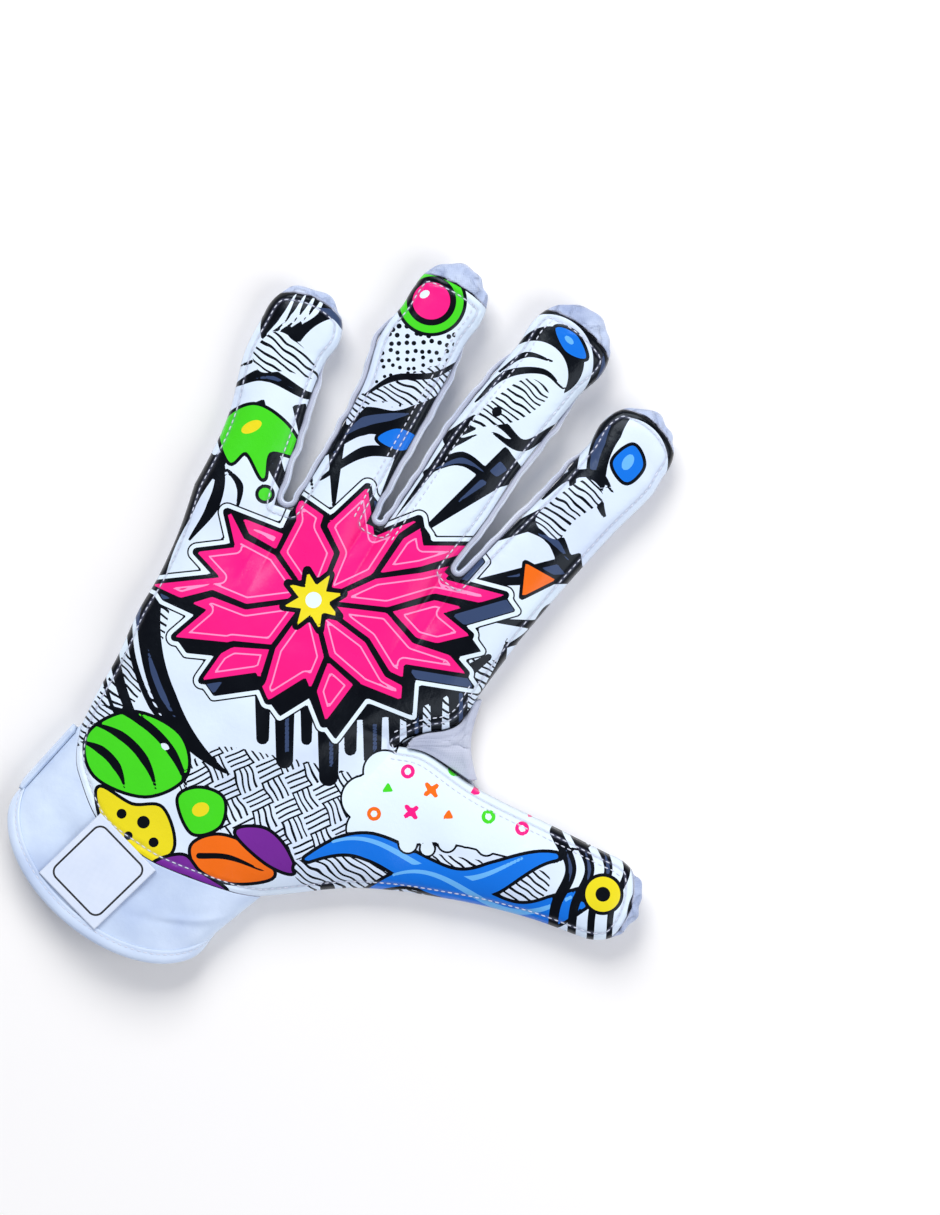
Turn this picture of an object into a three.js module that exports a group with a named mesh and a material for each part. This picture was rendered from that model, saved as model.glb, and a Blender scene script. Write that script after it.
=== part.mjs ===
// A receiver glove for the right hand, lying on its back with the palm up.
// Millimetres. +Y runs from wrist to fingers, +X to the thumb and +Z out of the palm; z = 0 is the ground.
import * as THREE from 'three';

const { lerp, smoothstep, degToRad } = THREE.MathUtils;

// Palm
const PALM_WIDTH = 104;
const PALM_LENGTH = 104;
const PALM_HEIGHT = 17;
const HEEL_DROP = 17;

// Digits: each one's length from the root line to the tip, its flat width and its lean from +Y to the thumb
const PINKY_LENGTH = 65.9;
const PINKY_WIDTH = 24.5;
const PINKY_LEAN = -15.8;
const RING_LENGTH = 85.8;
const RING_WIDTH = 25;
const RING_LEAN = -10.7;
const MIDDLE_LENGTH = 89.6;
const MIDDLE_WIDTH = 27.3;
const MIDDLE_LEAN = -1.5;
const INDEX_LENGTH = 77.7;
const INDEX_WIDTH = 25.7;
const INDEX_LEAN = 1.3;
const THUMB_LENGTH = 96.5;
const THUMB_WIDTH = 28;
const THUMB_LEAN = 67;
const FINGER_HEIGHT = 12.5;
const THUMB_HEIGHT = 13.5;

// How far each tip is lifted off the ground, and how far the back fabric wraps over it
const PINKY_LIFT = 2;
const RING_LIFT = 3;
const MIDDLE_LIFT = 2.5;
const INDEX_LIFT = 1.5;
const THUMB_LIFT = 2.5;
const PINKY_WRAP = 2.5;
const RING_WRAP = 6.5;
const MIDDLE_WRAP = 5.5;
const INDEX_WRAP = 2.5;
const THUMB_WRAP = 2.5;

// Walls, seams and side strips
const WALL = 1.2;
const GAP = 0.3;
const SEAM_HEIGHT = 4.5;
const RIM_ROLL = 8;
const BACK_RIM_HEIGHT = 2.2;
const FOURCHETTE_WALL = 1.1;
const FOURCHETTE_BULGE = 0.6;
const CROTCH_GAP = 1.2;
const WEB_WALL = 1;
const WEB_SAG = 3.2;
const WEB_BELLY = 3;

// Cuff
const CUFF_WALL = 1.5;
const CUFF_HEIGHT = 14.5;
const MOUTH_WIDTH = 71.4;
const MOUTH_OFFSET = -1.2;
const CUFF_SIDE_LENGTH = 23.4;
const TONGUE_LENGTH = 21.2;
const BACK_TONGUE_LENGTH = 2;
const BINDING_WIDTH = 2.7;
const BINDING_THICKNESS = 2.3;
const BINDING_GAP = 0.6;
const STRAP_THICKNESS = 1.6;
const STRAP_END = 0.4;
const LABEL_WIDTH = 23.5;
const LABEL_LENGTH = 25.5;
const LABEL_THICKNESS = 0.7;
const LABEL_TURN = -6;

// The label's middle on the cuff's top, as shares of the half width and of the length
const LABEL_ACROSS = -0.105;
const LABEL_ALONG = 0.44;

// Heights of a section's side where a side strip or the web joins it, as shares of the section's height
const SIDE_EDGE = 0.62;
const WEB_EDGE = 0.55;
const ROUNDNESS = 2.3;
const PALM_ROUNDNESS = 2.6;

// The little-finger edge of the palm, as shares of the palm's width and length
const ULNAR_EDGE = [
  { at: 0, across: -0.346, along: 0.004 },
  { at: 0.12, across: -0.367, along: 0.085 },
  { at: 0.29, across: -0.392, along: 0.216 },
  { at: 0.48, across: -0.43, along: 0.355 },
  { at: 0.63, across: -0.45, along: 0.469 },
  { at: 0.82, across: -0.489, along: 0.606 },
  { at: 1, across: -0.54, along: 0.736 },
];

// The thumb edge of the palm: straight at the thumb's root, then along the web to the index finger
const RADIAL_EDGE = [
  { at: 0, across: 0.368, along: -0.049 },
  { at: 0.55, across: 0.387, along: 0.532 },
  { at: 0.63, across: 0.423, along: 0.609 },
  { at: 0.7, across: 0.471, along: 0.668 },
  { at: 0.76, across: 0.487, along: 0.721 },
  { at: 0.84, across: 0.476, along: 0.808 },
  { at: 1, across: 0.465, along: 0.99 },
];
const WEB_POINT_AT = 0.55;
const WEB_END_AT = 0.84;

// The crotches between the fingers, as shares of the palm's width and length
const CROTCHES = [
  { across: -0.298, along: 0.846 },
  { across: -0.064, along: 0.976 },
  { across: 0.198, along: 1.005 },
];

// The rounded heel seam: how far it drops below the wrist line, as shares of the heel drop
const HEEL_SEAM = [
  { at: 0, drop: 0 },
  { at: 0.06, drop: 0.416 },
  { at: 0.12, drop: 0.644 },
  { at: 0.31, drop: 1 },
  { at: 0.5, drop: 0.92 },
  { at: 0.62, drop: 0.79 },
  { at: 0.9, drop: 0.27 },
  { at: 1, drop: 0 },
];

// The palm's crown along its length, as shares of the palm's height
const PALM_CROWN = [
  { at: 0, high: 0.85 },
  { at: 0.4, high: 1 },
  { at: 0.8, high: 0.94 },
  { at: 1, high: 0.85 },
];

// Each digit along its straight part: sideways offset and width as shares of its flat width, and its height as
// a share of the digits' height
const PINKY_FORM = [
  { at: 0, aside: 0, wide: 1, high: 1.08 },
  { at: 0.4, aside: -0.03, wide: 0.98, high: 1 },
  { at: 0.75, aside: -0.14, wide: 1.02, high: 0.95 },
  { at: 1, aside: -0.13, wide: 0.98, high: 0.88 },
];
const RING_FORM = [
  { at: 0, aside: 0, wide: 1, high: 1.1 },
  { at: 0.3, aside: 0.01, wide: 0.96, high: 1.02 },
  { at: 0.55, aside: 0, wide: 0.99, high: 1 },
  { at: 0.76, aside: -0.06, wide: 1.08, high: 0.96 },
  { at: 1, aside: -0.01, wide: 0.9, high: 0.88 },
];
const MIDDLE_FORM = [
  { at: 0, aside: 0, wide: 0.96, high: 1.12 },
  { at: 0.27, aside: -0.03, wide: 1.01, high: 1.04 },
  { at: 0.47, aside: -0.085, wide: 1.02, high: 1 },
  { at: 0.8, aside: -0.085, wide: 0.99, high: 0.96 },
  { at: 1, aside: -0.07, wide: 0.95, high: 0.88 },
];
const INDEX_FORM = [
  { at: 0, aside: 0, wide: 1.05, high: 1.1 },
  { at: 0.3, aside: 0.01, wide: 1.01, high: 1.02 },
  { at: 0.65, aside: 0.045, wide: 0.965, high: 1 },
  { at: 0.9, aside: 0.07, wide: 1, high: 0.94 },
  { at: 1, aside: 0.05, wide: 0.95, high: 0.88 },
];
const THUMB_FORM = [
  { at: 0, aside: 0, wide: 1.93, high: 1.15 },
  { at: 0.22, aside: -0.2, wide: 1.58, high: 1.1 },
  { at: 0.5, aside: -0.18, wide: 1.2, high: 1 },
  { at: 0.78, aside: -0.14, wide: 1.01, high: 0.95 },
  { at: 1, aside: -0.07, wide: 0.93, high: 0.85 },
];

// Broad dents and ridges of the lying palm: place and size as shares of the palm's width and length, and
// height as a share of the wall
const FOLDS = [
  { across: 0.26, along: 0.3, turn: 62, long: 0.3, wide: 0.075, high: -1.3 },
  { across: -0.05, along: 0.72, turn: 8, long: 0.36, wide: 0.08, high: -0.9 },
  { across: -0.36, along: 0.17, turn: 20, long: 0.1, wide: 0.05, high: -1.2 },
  { across: -0.2, along: 0.45, turn: -35, long: 0.26, wide: 0.09, high: 0.8 },
  { across: 0.62, along: 0.38, turn: -60, long: 0.12, wide: 0.07, high: -0.8 },
];

// The gap beside the print's edge at a tip, and the height over which the dents fade to the seam
const TIP_GAP = 2 * GAP;
const FOLD_FADE_HEIGHT = 5;

// Where a side strip begins above the crotch, and where it narrows, closes and ends along a finger
const FOURCHETTE_START = 3.6;
const CLOSING_START = 0.55;
const CLOSING_END = 0.98;
const FOURCHETTE_END = 0.88;

// Rows of the grids along a digit's straight part, and cells across
const STATIONS = [0, 0.1, 0.2, 0.33, 0.46, 0.6, 0.74, 0.88, 1];
const FINGER_CELLS = 6;
const WEB_STATIONS = [0, 0.12, 0.235, 0.35, 0.47];
const THUMB_STATIONS = [...WEB_STATIONS, 0.6, 0.73, 0.87, 1];
const THUMB_CELLS = 8;
const THUMB_CROWDING = 1.35;
const PALM_TOP_ROWS = [0.92, 1];

// Columns of the web from the thumb to the palm, and rows and cells of the cuff and the strap
const WEB_COLUMNS = [0.06, 0.2, 0.35, 0.5, 0.65, 0.8, 0.94];
const CUFF_ROWS = [0, 0.25, 0.5, 0.75, 1];
const CUFF_CELLS = 16;
const CUFF_UNDER_CELLS = 12;
const STRAP_ROWS = [0.08, 0.5, 0.97];
const STRAP_SIDE = [0.06, 0];

// Places where the back fabric's rim is measured: round a tip, above the web and along the web
const TIP_CAPS = [0.25, 0.5, 0.75, 1];
const TIP_ACROSS = [-0.5, 0, 0.5];
const ABOVE_WEB = [0.95, 0.9];
const ALONG_WEB = [0.9, 0.75, 0.5, 0.25, 0.1];

// A value read from a short table by a smooth curve through its rows.
function along(rows, column, at) {
  const last = rows.length - 1;
  let i = 0;
  while (i < last - 1 && at > rows[i + 1].at) i += 1;
  const slope = (k) => {
    const a = rows[Math.max(k - 1, 0)];
    const b = rows[Math.min(k + 1, last)];
    return (b[column] - a[column]) / (b.at - a.at);
  };
  const span = rows[i + 1].at - rows[i].at;
  const s = (at - rows[i].at) / span;
  const s2 = s * s;
  const s3 = s2 * s;
  return (2 * s3 - 3 * s2 + 1) * rows[i][column] + (s3 - 2 * s2 + s) * span * slope(i)
    + (3 * s2 - 2 * s3) * rows[i + 1][column] + (s3 - s2) * span * slope(i + 1);
}

// Height share of a rounded section: 1 in the middle, and the share "edge" at its sides, where |t| is 1.
function crown(t, edge, power) {
  return Math.pow(1 - (1 - Math.pow(edge, power)) * Math.pow(Math.min(Math.abs(t), 1), power), 1 / power);
}

// The sum of the palm's broad dents and ridges at a place.
function foldsAt(place) {
  let high = 0;
  for (const fold of FOLDS) {
    const x = place.x - fold.across * PALM_WIDTH;
    const y = place.y - fold.along * PALM_LENGTH;
    const turn = degToRad(fold.turn);
    const a = (x * Math.cos(turn) + y * Math.sin(turn)) / (fold.long * PALM_WIDTH);
    const b = (y * Math.cos(turn) - x * Math.sin(turn)) / (fold.wide * PALM_WIDTH);
    high += fold.high * WALL * Math.exp(-a * a - b * b);
  }
  return high;
}

const palmPlace = (row) => new THREE.Vector2(row.across * PALM_WIDTH, row.along * PALM_LENGTH);
function ulnarEdge(at) {
  return palmPlace({ across: along(ULNAR_EDGE, 'across', at), along: along(ULNAR_EDGE, 'along', at) });
}
function radialEdge(at) {
  if (at <= WEB_POINT_AT) return palmPlace(RADIAL_EDGE[0]).lerp(palmPlace(RADIAL_EDGE[1]), at / WEB_POINT_AT);
  const rows = RADIAL_EDGE.slice(1);
  return palmPlace({ across: along(rows, 'across', at), along: along(rows, 'along', at) });
}

// A digit: its root runs from its left side to its right side, seen with the tip away from the viewer.
// A side is a plain seam, or has a side strip, or has the web as far as the last web station.
function makeDigit(name, size, sides, left, right) {
  const lean = degToRad(size.lean);
  const cap = size.width * 0.5 * size.blunt;
  return {
    name,
    form: size.form,
    sides,
    left,
    right,
    width: size.width,
    high: size.high,
    lift: size.lift,
    cap,
    shaft: size.length - cap,
    wrapAt: 1 - size.wrap / cap,
    middle: left.clone().lerp(right, 0.5),
    ahead: new THREE.Vector2(Math.sin(lean), Math.cos(lean)),
    rightward: new THREE.Vector2(Math.cos(lean), -Math.sin(lean)),
    fade: size.fade,
  };
}

const crotchSide = (crotch, side) => palmPlace(crotch).add(new THREE.Vector2(side * CROTCH_GAP * 0.5, 0));
const finger = (form, length, width, lean, lift, wrap) => ({
  form, length, width, lean, lift, wrap, high: FINGER_HEIGHT, blunt: 1, fade: 0.35,
});
const FINGERS = [
  makeDigit('pinky', finger(PINKY_FORM, PINKY_LENGTH, PINKY_WIDTH, PINKY_LEAN, PINKY_LIFT, PINKY_WRAP),
    ['seam', 'strip'], ulnarEdge(1), crotchSide(CROTCHES[0], -1)),
  makeDigit('ring', finger(RING_FORM, RING_LENGTH, RING_WIDTH, RING_LEAN, RING_LIFT, RING_WRAP),
    ['strip', 'strip'], crotchSide(CROTCHES[0], 1), crotchSide(CROTCHES[1], -1)),
  makeDigit('middle', finger(MIDDLE_FORM, MIDDLE_LENGTH, MIDDLE_WIDTH, MIDDLE_LEAN, MIDDLE_LIFT, MIDDLE_WRAP),
    ['strip', 'strip'], crotchSide(CROTCHES[1], 1), crotchSide(CROTCHES[2], -1)),
  makeDigit('index', finger(INDEX_FORM, INDEX_LENGTH, INDEX_WIDTH, INDEX_LEAN, INDEX_LIFT, INDEX_WRAP),
    ['strip', 'seam'], crotchSide(CROTCHES[2], 1), radialEdge(1)),
];
const THUMB = makeDigit('thumb', {
  form: THUMB_FORM,
  length: THUMB_LENGTH,
  width: THUMB_WIDTH,
  lean: THUMB_LEAN,
  lift: THUMB_LIFT,
  wrap: THUMB_WRAP,
  high: THUMB_HEIGHT,
  blunt: 0.95,
  fade: 0.5,
}, ['web', 'seam'], radialEdge(WEB_POINT_AT), radialEdge(0));

// A place in a digit's plan: at 0 to 1 along its straight part, across -1 to 1, and cap 0 to 1 into its round
// tip, where a square grid is bent to a half disc.
function digitPlace(digit, at, across, cap = 0) {
  const half = digit.width * 0.5 * along(digit.form, 'wide', at);
  const aside = digit.width * along(digit.form, 'aside', at);
  const forward = digit.shaft * at + digit.cap * cap * Math.sqrt(1 - across * across * 0.5);
  const sideways = aside + half * across * Math.sqrt(1 - cap * cap * 0.5);
  const place = digit.middle.clone().addScaledVector(digit.ahead, forward);
  place.addScaledVector(digit.rightward, sideways);
  if (at < digit.fade) {
    const startHalf = digit.width * 0.5 * digit.form[0].wide;
    const plain = digit.middle.clone().addScaledVector(digit.rightward, startHalf * across);
    const root = digit.left.clone().lerp(digit.right, (across + 1) * 0.5);
    place.addScaledVector(root.sub(plain), (1 - at / digit.fade) ** 2);
  }
  return place;
}

const halfWidth = (digit, at) => digit.width * 0.5 * along(digit.form, 'wide', at);
const closing = (at) => smoothstep(at, CLOSING_START, CLOSING_END);

// A digit's underside leaves the ground slowly towards its lifted tip.
function liftAt(digit, at, cap = 0) {
  const share = (at * digit.shaft + cap * digit.cap) / (digit.shaft + digit.cap);
  return digit.lift * share * share;
}

// The height share of a digit's left or right edge.
function sideEdge(digit, side, at) {
  const kind = digit.sides[side];
  if (kind === 'strip') return SIDE_EDGE * (1 - closing(at));
  if (kind === 'web') return WEB_EDGE * (1 - smoothstep(at, 0, WEB_STATIONS.at(-1)));
  return 0;
}

// The side strip's bulge, and the inset of the panels from the outline, which leaves room for the strip.
const bulgeAt = (at) => FOURCHETTE_BULGE * (1 - closing(at));
function sideInset(digit, side, at) {
  if (digit.sides[side] !== 'strip') return 0;
  return (bulgeAt(at) + FOURCHETTE_WALL + GAP) * (1 - smoothstep(at, FOURCHETTE_END, 1));
}

// The across value of a panel's point, c from -1 to 1 between the panel's own edges.
function panelAcross(digit, at, c) {
  const half = halfWidth(digit, at);
  const left = -1 + sideInset(digit, 0, at) / half;
  const right = 1 - sideInset(digit, 1, at) / half;
  return lerp(left, right, (c + 1) * 0.5);
}

// The height of the top of a digit over a panel point, from a seam at the height "base".
function digitTop(digit, at, c, cap, base) {
  const edge = sideEdge(digit, c < 0 ? 0 : 1, at);
  const reach = Math.sqrt(Math.max(c * c + cap * cap - c * c * cap * cap, 0));
  const high = digit.high * along(digit.form, 'high', at);
  const lowest = cap > 0 ? 0 : edge;
  return base + (high - base) * crown(reach, lowest, ROUNDNESS) + liftAt(digit, at, cap);
}

// A surface of merged points and triangles that is given a wall and closed at its edges.
class Sheet {
  constructor() {
    this.points = [];
    this.level = [];
    this.found = new Map();
    this.faces = [];
  }

  // A point. "level" keeps the wall's offset there level, as at a seam whose two walls meet edge to edge.
  point(place, high, level = 0) {
    const key = [place.x, place.y, high].map((value) => Math.round(value * 50)).join();
    if (!this.found.has(key)) {
      this.found.set(key, this.points.length);
      this.points.push(new THREE.Vector3(place.x, place.y, high));
      this.level.push(level);
    }
    return this.found.get(key);
  }

  // Two triangles for each cell of a grid of point numbers.
  grid(rows, flip) {
    for (let i = 0; i + 1 < rows.length; i += 1) {
      for (let j = 0; j + 1 < rows[i].length; j += 1) {
        const [a, b, c, d] = [rows[i][j], rows[i][j + 1], rows[i + 1][j + 1], rows[i + 1][j]];
        this.face(a, b, c, flip);
        this.face(a, c, d, flip);
      }
    }
  }

  face(a, b, c, flip) {
    if (a === b || b === c || c === a) return;
    this.faces.push(flip ? [a, c, b] : [a, b, c]);
  }

  normals() {
    const sums = this.points.map(() => new THREE.Vector3());
    const ab = new THREE.Vector3();
    const ac = new THREE.Vector3();
    for (const [a, b, c] of this.faces) {
      ab.subVectors(this.points[b], this.points[a]);
      ac.subVectors(this.points[c], this.points[a]);
      ab.cross(ac);
      for (const corner of [a, b, c]) sums[corner].add(ab);
    }
    return sums.map((sum, i) => {
      sum.normalize();
      sum.z *= 1 - this.level[i];
      return sum.normalize();
    });
  }

  // The closed wall between this surface, moved out by "out", and its copy moved in by "wall" from there.
  wall(thickness, out = 0) {
    const normals = this.normals();
    const count = this.points.length;
    const outer = this.points.map((point, i) => point.clone().addScaledVector(normals[i], out));
    const inner = this.points.map((point, i) => point.clone().addScaledVector(normals[i], out - thickness));
    const faces = [...this.faces, ...this.faces.map(([a, b, c]) => [a + count, c + count, b + count])];
    const edges = new Map();
    for (const [a, b, c] of this.faces) {
      for (const [from, to] of [[a, b], [b, c], [c, a]]) edges.set(`${from},${to}`, [from, to]);
    }
    for (const [from, to] of edges.values()) {
      if (edges.has(`${to},${from}`)) continue;
      faces.push([to, from, from + count], [to, from + count, to + count]);
    }
    return closedGeometry([...outer, ...inner], faces);
  }
}

function closedGeometry(points, faces) {
  const geometry = new THREE.BufferGeometry();
  geometry.setAttribute('position', new THREE.Float32BufferAttribute(points.flatMap((p) => p.toArray()), 3));
  geometry.setIndex(faces.flat());
  geometry.computeVertexNormals();
  return geometry;
}

const evenly = (cells) => Array.from({ length: cells + 1 }, (_, i) => -1 + (2 * i) / cells);
const rounded = (cells) => evenly(cells).map((c) => Math.sin(c * Math.PI * 0.5));
const FINGER_ACROSS = rounded(FINGER_CELLS);

// The thumb's root line is shared with the palm's rows, finer near the wrist corner where the section is steep.
const THUMB_ROOT_ACROSS = Array.from({ length: THUMB_CELLS + 1 }, (_, j) => {
  const left = 1 - j / THUMB_CELLS;
  return 1 - 2 * left ** THUMB_CROWDING;
});
const LAST_WEB = WEB_STATIONS.length - 1;
const BODY_ROWS = [
  ...THUMB_ROOT_ACROSS.toReversed().map((across) => WEB_POINT_AT * (1 - across) * 0.5),
  ...WEB_STATIONS.slice(1).map((_, i) => lerp(WEB_POINT_AT, WEB_END_AT, (i + 1) / LAST_WEB)),
  ...PALM_TOP_ROWS,
];
const WEB_ROW = THUMB_CELLS;

// A place in the palm between its four edges, 0 to 1 across and 0 to 1 along, for a given lower and upper edge.
function palmBodyPlace(across, at, lower, upper) {
  const left = ulnarEdge(at);
  const right = radialEdge(at);
  const place = lower.clone().lerp(upper, at).add(left.lerp(right, across));
  const corner0 = ulnarEdge(0).lerp(radialEdge(0), across);
  const corner1 = ulnarEdge(1).lerp(radialEdge(1), across);
  return place.sub(corner0.lerp(corner1, at));
}

function heelPlace(across, drop) {
  const place = ulnarEdge(0).lerp(radialEdge(0), across);
  place.y -= HEEL_DROP * drop * along(HEEL_SEAM, 'drop', across);
  return place;
}

// The height share of the palm's thumb edge.
function radialRise(at, palmHigh, base) {
  if (at <= WEB_POINT_AT) {
    const across = 1 - (2 * at) / WEB_POINT_AT;
    return (digitTop(THUMB, 0, across, 0, base) - base) / (palmHigh - base);
  }
  const web = digitTop(THUMB, 0, -1, 0, base) - base;
  return (web / (palmHigh - base)) * (1 - smoothstep(at, WEB_POINT_AT, WEB_END_AT));
}

function palmDome(across, at, base) {
  const high = PALM_HEIGHT * along(PALM_CROWN, 'high', at);
  const t = 2 * across - 1;
  const edge = t < 0 ? 0 : radialRise(at, high, base);
  return base + (high - base) * crown(t, edge, PALM_ROUNDNESS);
}

// The columns of the palm's grid: the fingers' own columns, with one between neighbours below each crotch.
function palmColumns() {
  const columns = [];
  for (const finger of FINGERS) {
    for (const c of FINGER_ACROSS) {
      columns.push({ finger, c, root: digitPlace(finger, 0, panelAcross(finger, 0, c)) });
    }
  }
  const first = columns[0].root.x;
  const last = columns.at(-1).root.x;
  return columns.map((column) => ({ ...column, across: (column.root.x - first) / (last - first) }));
}

// The printed front of the glove.
function palmPanel() {
  const sheet = new Sheet();
  const base = SEAM_HEIGHT + GAP * 0.5;
  const columns = palmColumns();
  const put = (place, high, level) => {
    const share = Math.min(Math.max((high - base) / FOLD_FADE_HEIGHT, 0), 1);
    return sheet.point(place, high + foldsAt(place) * share, level);
  };
  const body = BODY_ROWS.map((at) => columns.map(({ finger, c, root, across }) => {
    const place = palmBodyPlace(across, at, heelPlace(across, 1), root);
    const bump = digitTop(finger, 0, c, 0, base);
    const high = lerp(palmDome(across, at, base), bump, smoothstep(at, 0.7, 1));
    const seam = across === 0 || (across === 1 && (at === 0 || at >= WEB_END_AT));
    return put(place, high, seam ? 1 : 0);
  }));
  sheet.grid(body, false);
  FINGERS.forEach((finger, k) => {
    const root = body.at(-1).slice(k * FINGER_ACROSS.length, (k + 1) * FINGER_ACROSS.length);
    sheet.grid([root, ...digitRows(put, finger, STATIONS, FINGER_ACROSS, base)], false);
  });
  const thumbRoot = body.slice(0, WEB_ROW + 1).map((row) => row.at(-1)).toReversed();
  sheet.grid([thumbRoot, ...digitRows(put, THUMB, THUMB_STATIONS, THUMB_ROOT_ACROSS, base)], false);
  return sheet.wall(WALL);
}

// Whether a panel's point is on a plain seam at a digit's side, where the two panels meet.
function onSideSeam(digit, at, c) {
  return Math.abs(c) === 1 && sideEdge(digit, c < 0 ? 0 : 1, at) < GAP / digit.high;
}

// Rows of a digit's top from its root to the edge of its print at the tip.
function digitRows(put, digit, stations, acrosses, base) {
  const capEnd = digit.wrapAt - TIP_GAP / digit.cap;
  const rows = stations.slice(1).map((at) => acrosses.map((c) => {
    const place = digitPlace(digit, at, panelAcross(digit, at, c));
    return put(place, digitTop(digit, at, c, 0, base), onSideSeam(digit, at, c) ? 1 : 0);
  }));
  for (const cap of [capEnd * 0.5, capEnd]) {
    rows.push(acrosses.map((c) => {
      const level = Math.abs(c) === 1 ? 1 : 0;
      return put(digitPlace(digit, 1, c, cap), digitTop(digit, 1, c, cap, base), level);
    }));
  }
  return rows;
}

// The web's free edge: from the thumb's upper side, dipping towards the web point, to the index finger's root.
function webPlace(station, share) {
  const fromThumb = digitPlace(THUMB, WEB_STATIONS[station], -1);
  const fromPalm = radialEdge(BODY_ROWS[WEB_ROW + station]);
  const place = fromThumb.clone().lerp(fromPalm, share);
  const out = station / LAST_WEB;
  const inward = radialEdge(WEB_POINT_AT).sub(place).normalize();
  return place.addScaledVector(inward, WEB_SAG * 4 * share * (1 - share) * out * out);
}

// The rim of the back fabric: places with the fabric's height there.
function backRim() {
  const rim = [];
  const seam = SEAM_HEIGHT - GAP * 0.5;
  const add = (place, high) => rim.push({ place, high });
  const side = (digit, which, stations) => {
    for (const at of stations) {
      const c = which === 0 ? -1 : 1;
      const high = digit.sides[which] === 'strip' ? lerp(BACK_RIM_HEIGHT, seam, closing(at)) : seam;
      add(digitPlace(digit, at, panelAcross(digit, at, c)), high);
    }
  };
  const tip = (digit) => {
    for (const cap of TIP_CAPS) add(digitPlace(digit, 1, -1, cap), seam);
    for (const c of TIP_ACROSS) add(digitPlace(digit, 1, c, 1), seam);
    for (const cap of TIP_CAPS.toReversed()) add(digitPlace(digit, 1, 1, cap), seam);
  };
  for (const at of BODY_ROWS) add(ulnarEdge(at), seam);
  for (const finger of FINGERS) {
    side(finger, 0, STATIONS);
    tip(finger);
    side(finger, 1, STATIONS.toReversed());
  }
  for (const at of [...ABOVE_WEB, WEB_END_AT]) add(radialEdge(at), seam);
  for (const share of ALONG_WEB) add(webBackPlace(LAST_WEB, share), BACK_RIM_HEIGHT);
  side(THUMB, 0, THUMB_STATIONS.slice(LAST_WEB));
  tip(THUMB);
  side(THUMB, 1, THUMB_STATIONS.toReversed());
  return rim;
}

const WEB_BACK_INSET = WEB_WALL + GAP + FOURCHETTE_BULGE;
function webBackPlace(station, share) {
  const place = webPlace(station, share);
  const out = station / LAST_WEB;
  const inward = radialEdge(WEB_POINT_AT).sub(place).normalize();
  return place.addScaledVector(inward, WEB_BACK_INSET * out * Math.min(1, 8 * share * (1 - share)));
}

// The height of the back fabric's underside: flat on the ground, rolling up to the rim's height at the rim.
function backHeight(rim, place) {
  let nearest = Infinity;
  let high = 0;
  for (let i = 0; i + 1 < rim.length; i += 1) {
    const step = rim[i + 1].place.clone().sub(rim[i].place);
    const length2 = Math.max(step.lengthSq(), 1e-9);
    const share = Math.min(1, Math.max(0, place.clone().sub(rim[i].place).dot(step) / length2));
    const distance = rim[i].place.clone().addScaledVector(step, share).distanceTo(place);
    if (distance < nearest) {
      nearest = distance;
      high = lerp(rim[i].high, rim[i + 1].high, share);
    }
  }
  const inner = 1 - Math.min(nearest / RIM_ROLL, 1);
  return high * (1 - Math.sqrt(1 - inner * inner));
}

// The plain back of the glove, which wraps over the tips.
function backPanel() {
  const sheet = new Sheet();
  const rim = backRim();
  const seam = SEAM_HEIGHT - GAP * 0.5;
  const columns = palmColumns();
  const under = (place, level, lift = 0) => sheet.point(place, backHeight(rim, place) + lift, level);
  const body = BODY_ROWS.map((at) => columns.map(({ root, across }) => {
    const place = palmBodyPlace(across, at, heelPlace(across, 0), root);
    const onSeam = across === 0 || (across === 1 && (at === 0 || at >= WEB_END_AT));
    return under(place, onSeam ? 1 : 0);
  }));
  sheet.grid(body, true);
  const strip = (digit, root, stations, acrosses) => {
    const rows = stations.slice(1).map((at) => acrosses.map((c) => {
      const place = digitPlace(digit, at, panelAcross(digit, at, c));
      return under(place, onSideSeam(digit, at, c) ? 1 : 0, liftAt(digit, at));
    }));
    const wrapRows = [digit.wrapAt * 0.5, digit.wrapAt, (1 + digit.wrapAt) * 0.5, 1];
    const rimPoint = (c, cap) => sheet.point(digitPlace(digit, 1, c, cap), seam + liftAt(digit, 1, cap), 1);
    for (const cap of wrapRows) {
      rows.push(acrosses.map((c) => {
        if (cap === 1 || Math.abs(c) === 1) return rimPoint(c, cap);
        return under(digitPlace(digit, 1, c, cap), 0, liftAt(digit, 1, cap));
      }));
    }
    for (const cap of wrapRows.slice(1, -1).toReversed()) {
      rows.push(acrosses.map((c) => {
        if (Math.abs(c) === 1) return rimPoint(c, cap);
        return sheet.point(digitPlace(digit, 1, c, cap), digitTop(digit, 1, c, cap, seam));
      }));
    }
    sheet.grid([root, ...rows], true);
    return rows;
  };
  FINGERS.forEach((finger, k) => {
    const root = body.at(-1).slice(k * FINGER_ACROSS.length, (k + 1) * FINGER_ACROSS.length);
    strip(finger, root, STATIONS, FINGER_ACROSS);
  });
  const thumbRoot = body.slice(0, WEB_ROW + 1).map((row) => row.at(-1)).toReversed();
  const thumb = strip(THUMB, thumbRoot, THUMB_STATIONS, THUMB_ROOT_ACROSS);
  const web = WEB_STATIONS.map((_, i) => {
    const first = i === 0 ? thumbRoot[0] : thumb[i - 1][0];
    const last = body[WEB_ROW + i].at(-1);
    return evenly(4).map((c, j) => {
      if (i === 0 || j === 0) return first;
      if (j === 4) return last;
      return under(webBackPlace(i, (c + 1) * 0.5), 0);
    });
  });
  sheet.grid(web, false);
  return sheet.wall(WALL);
}

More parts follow.
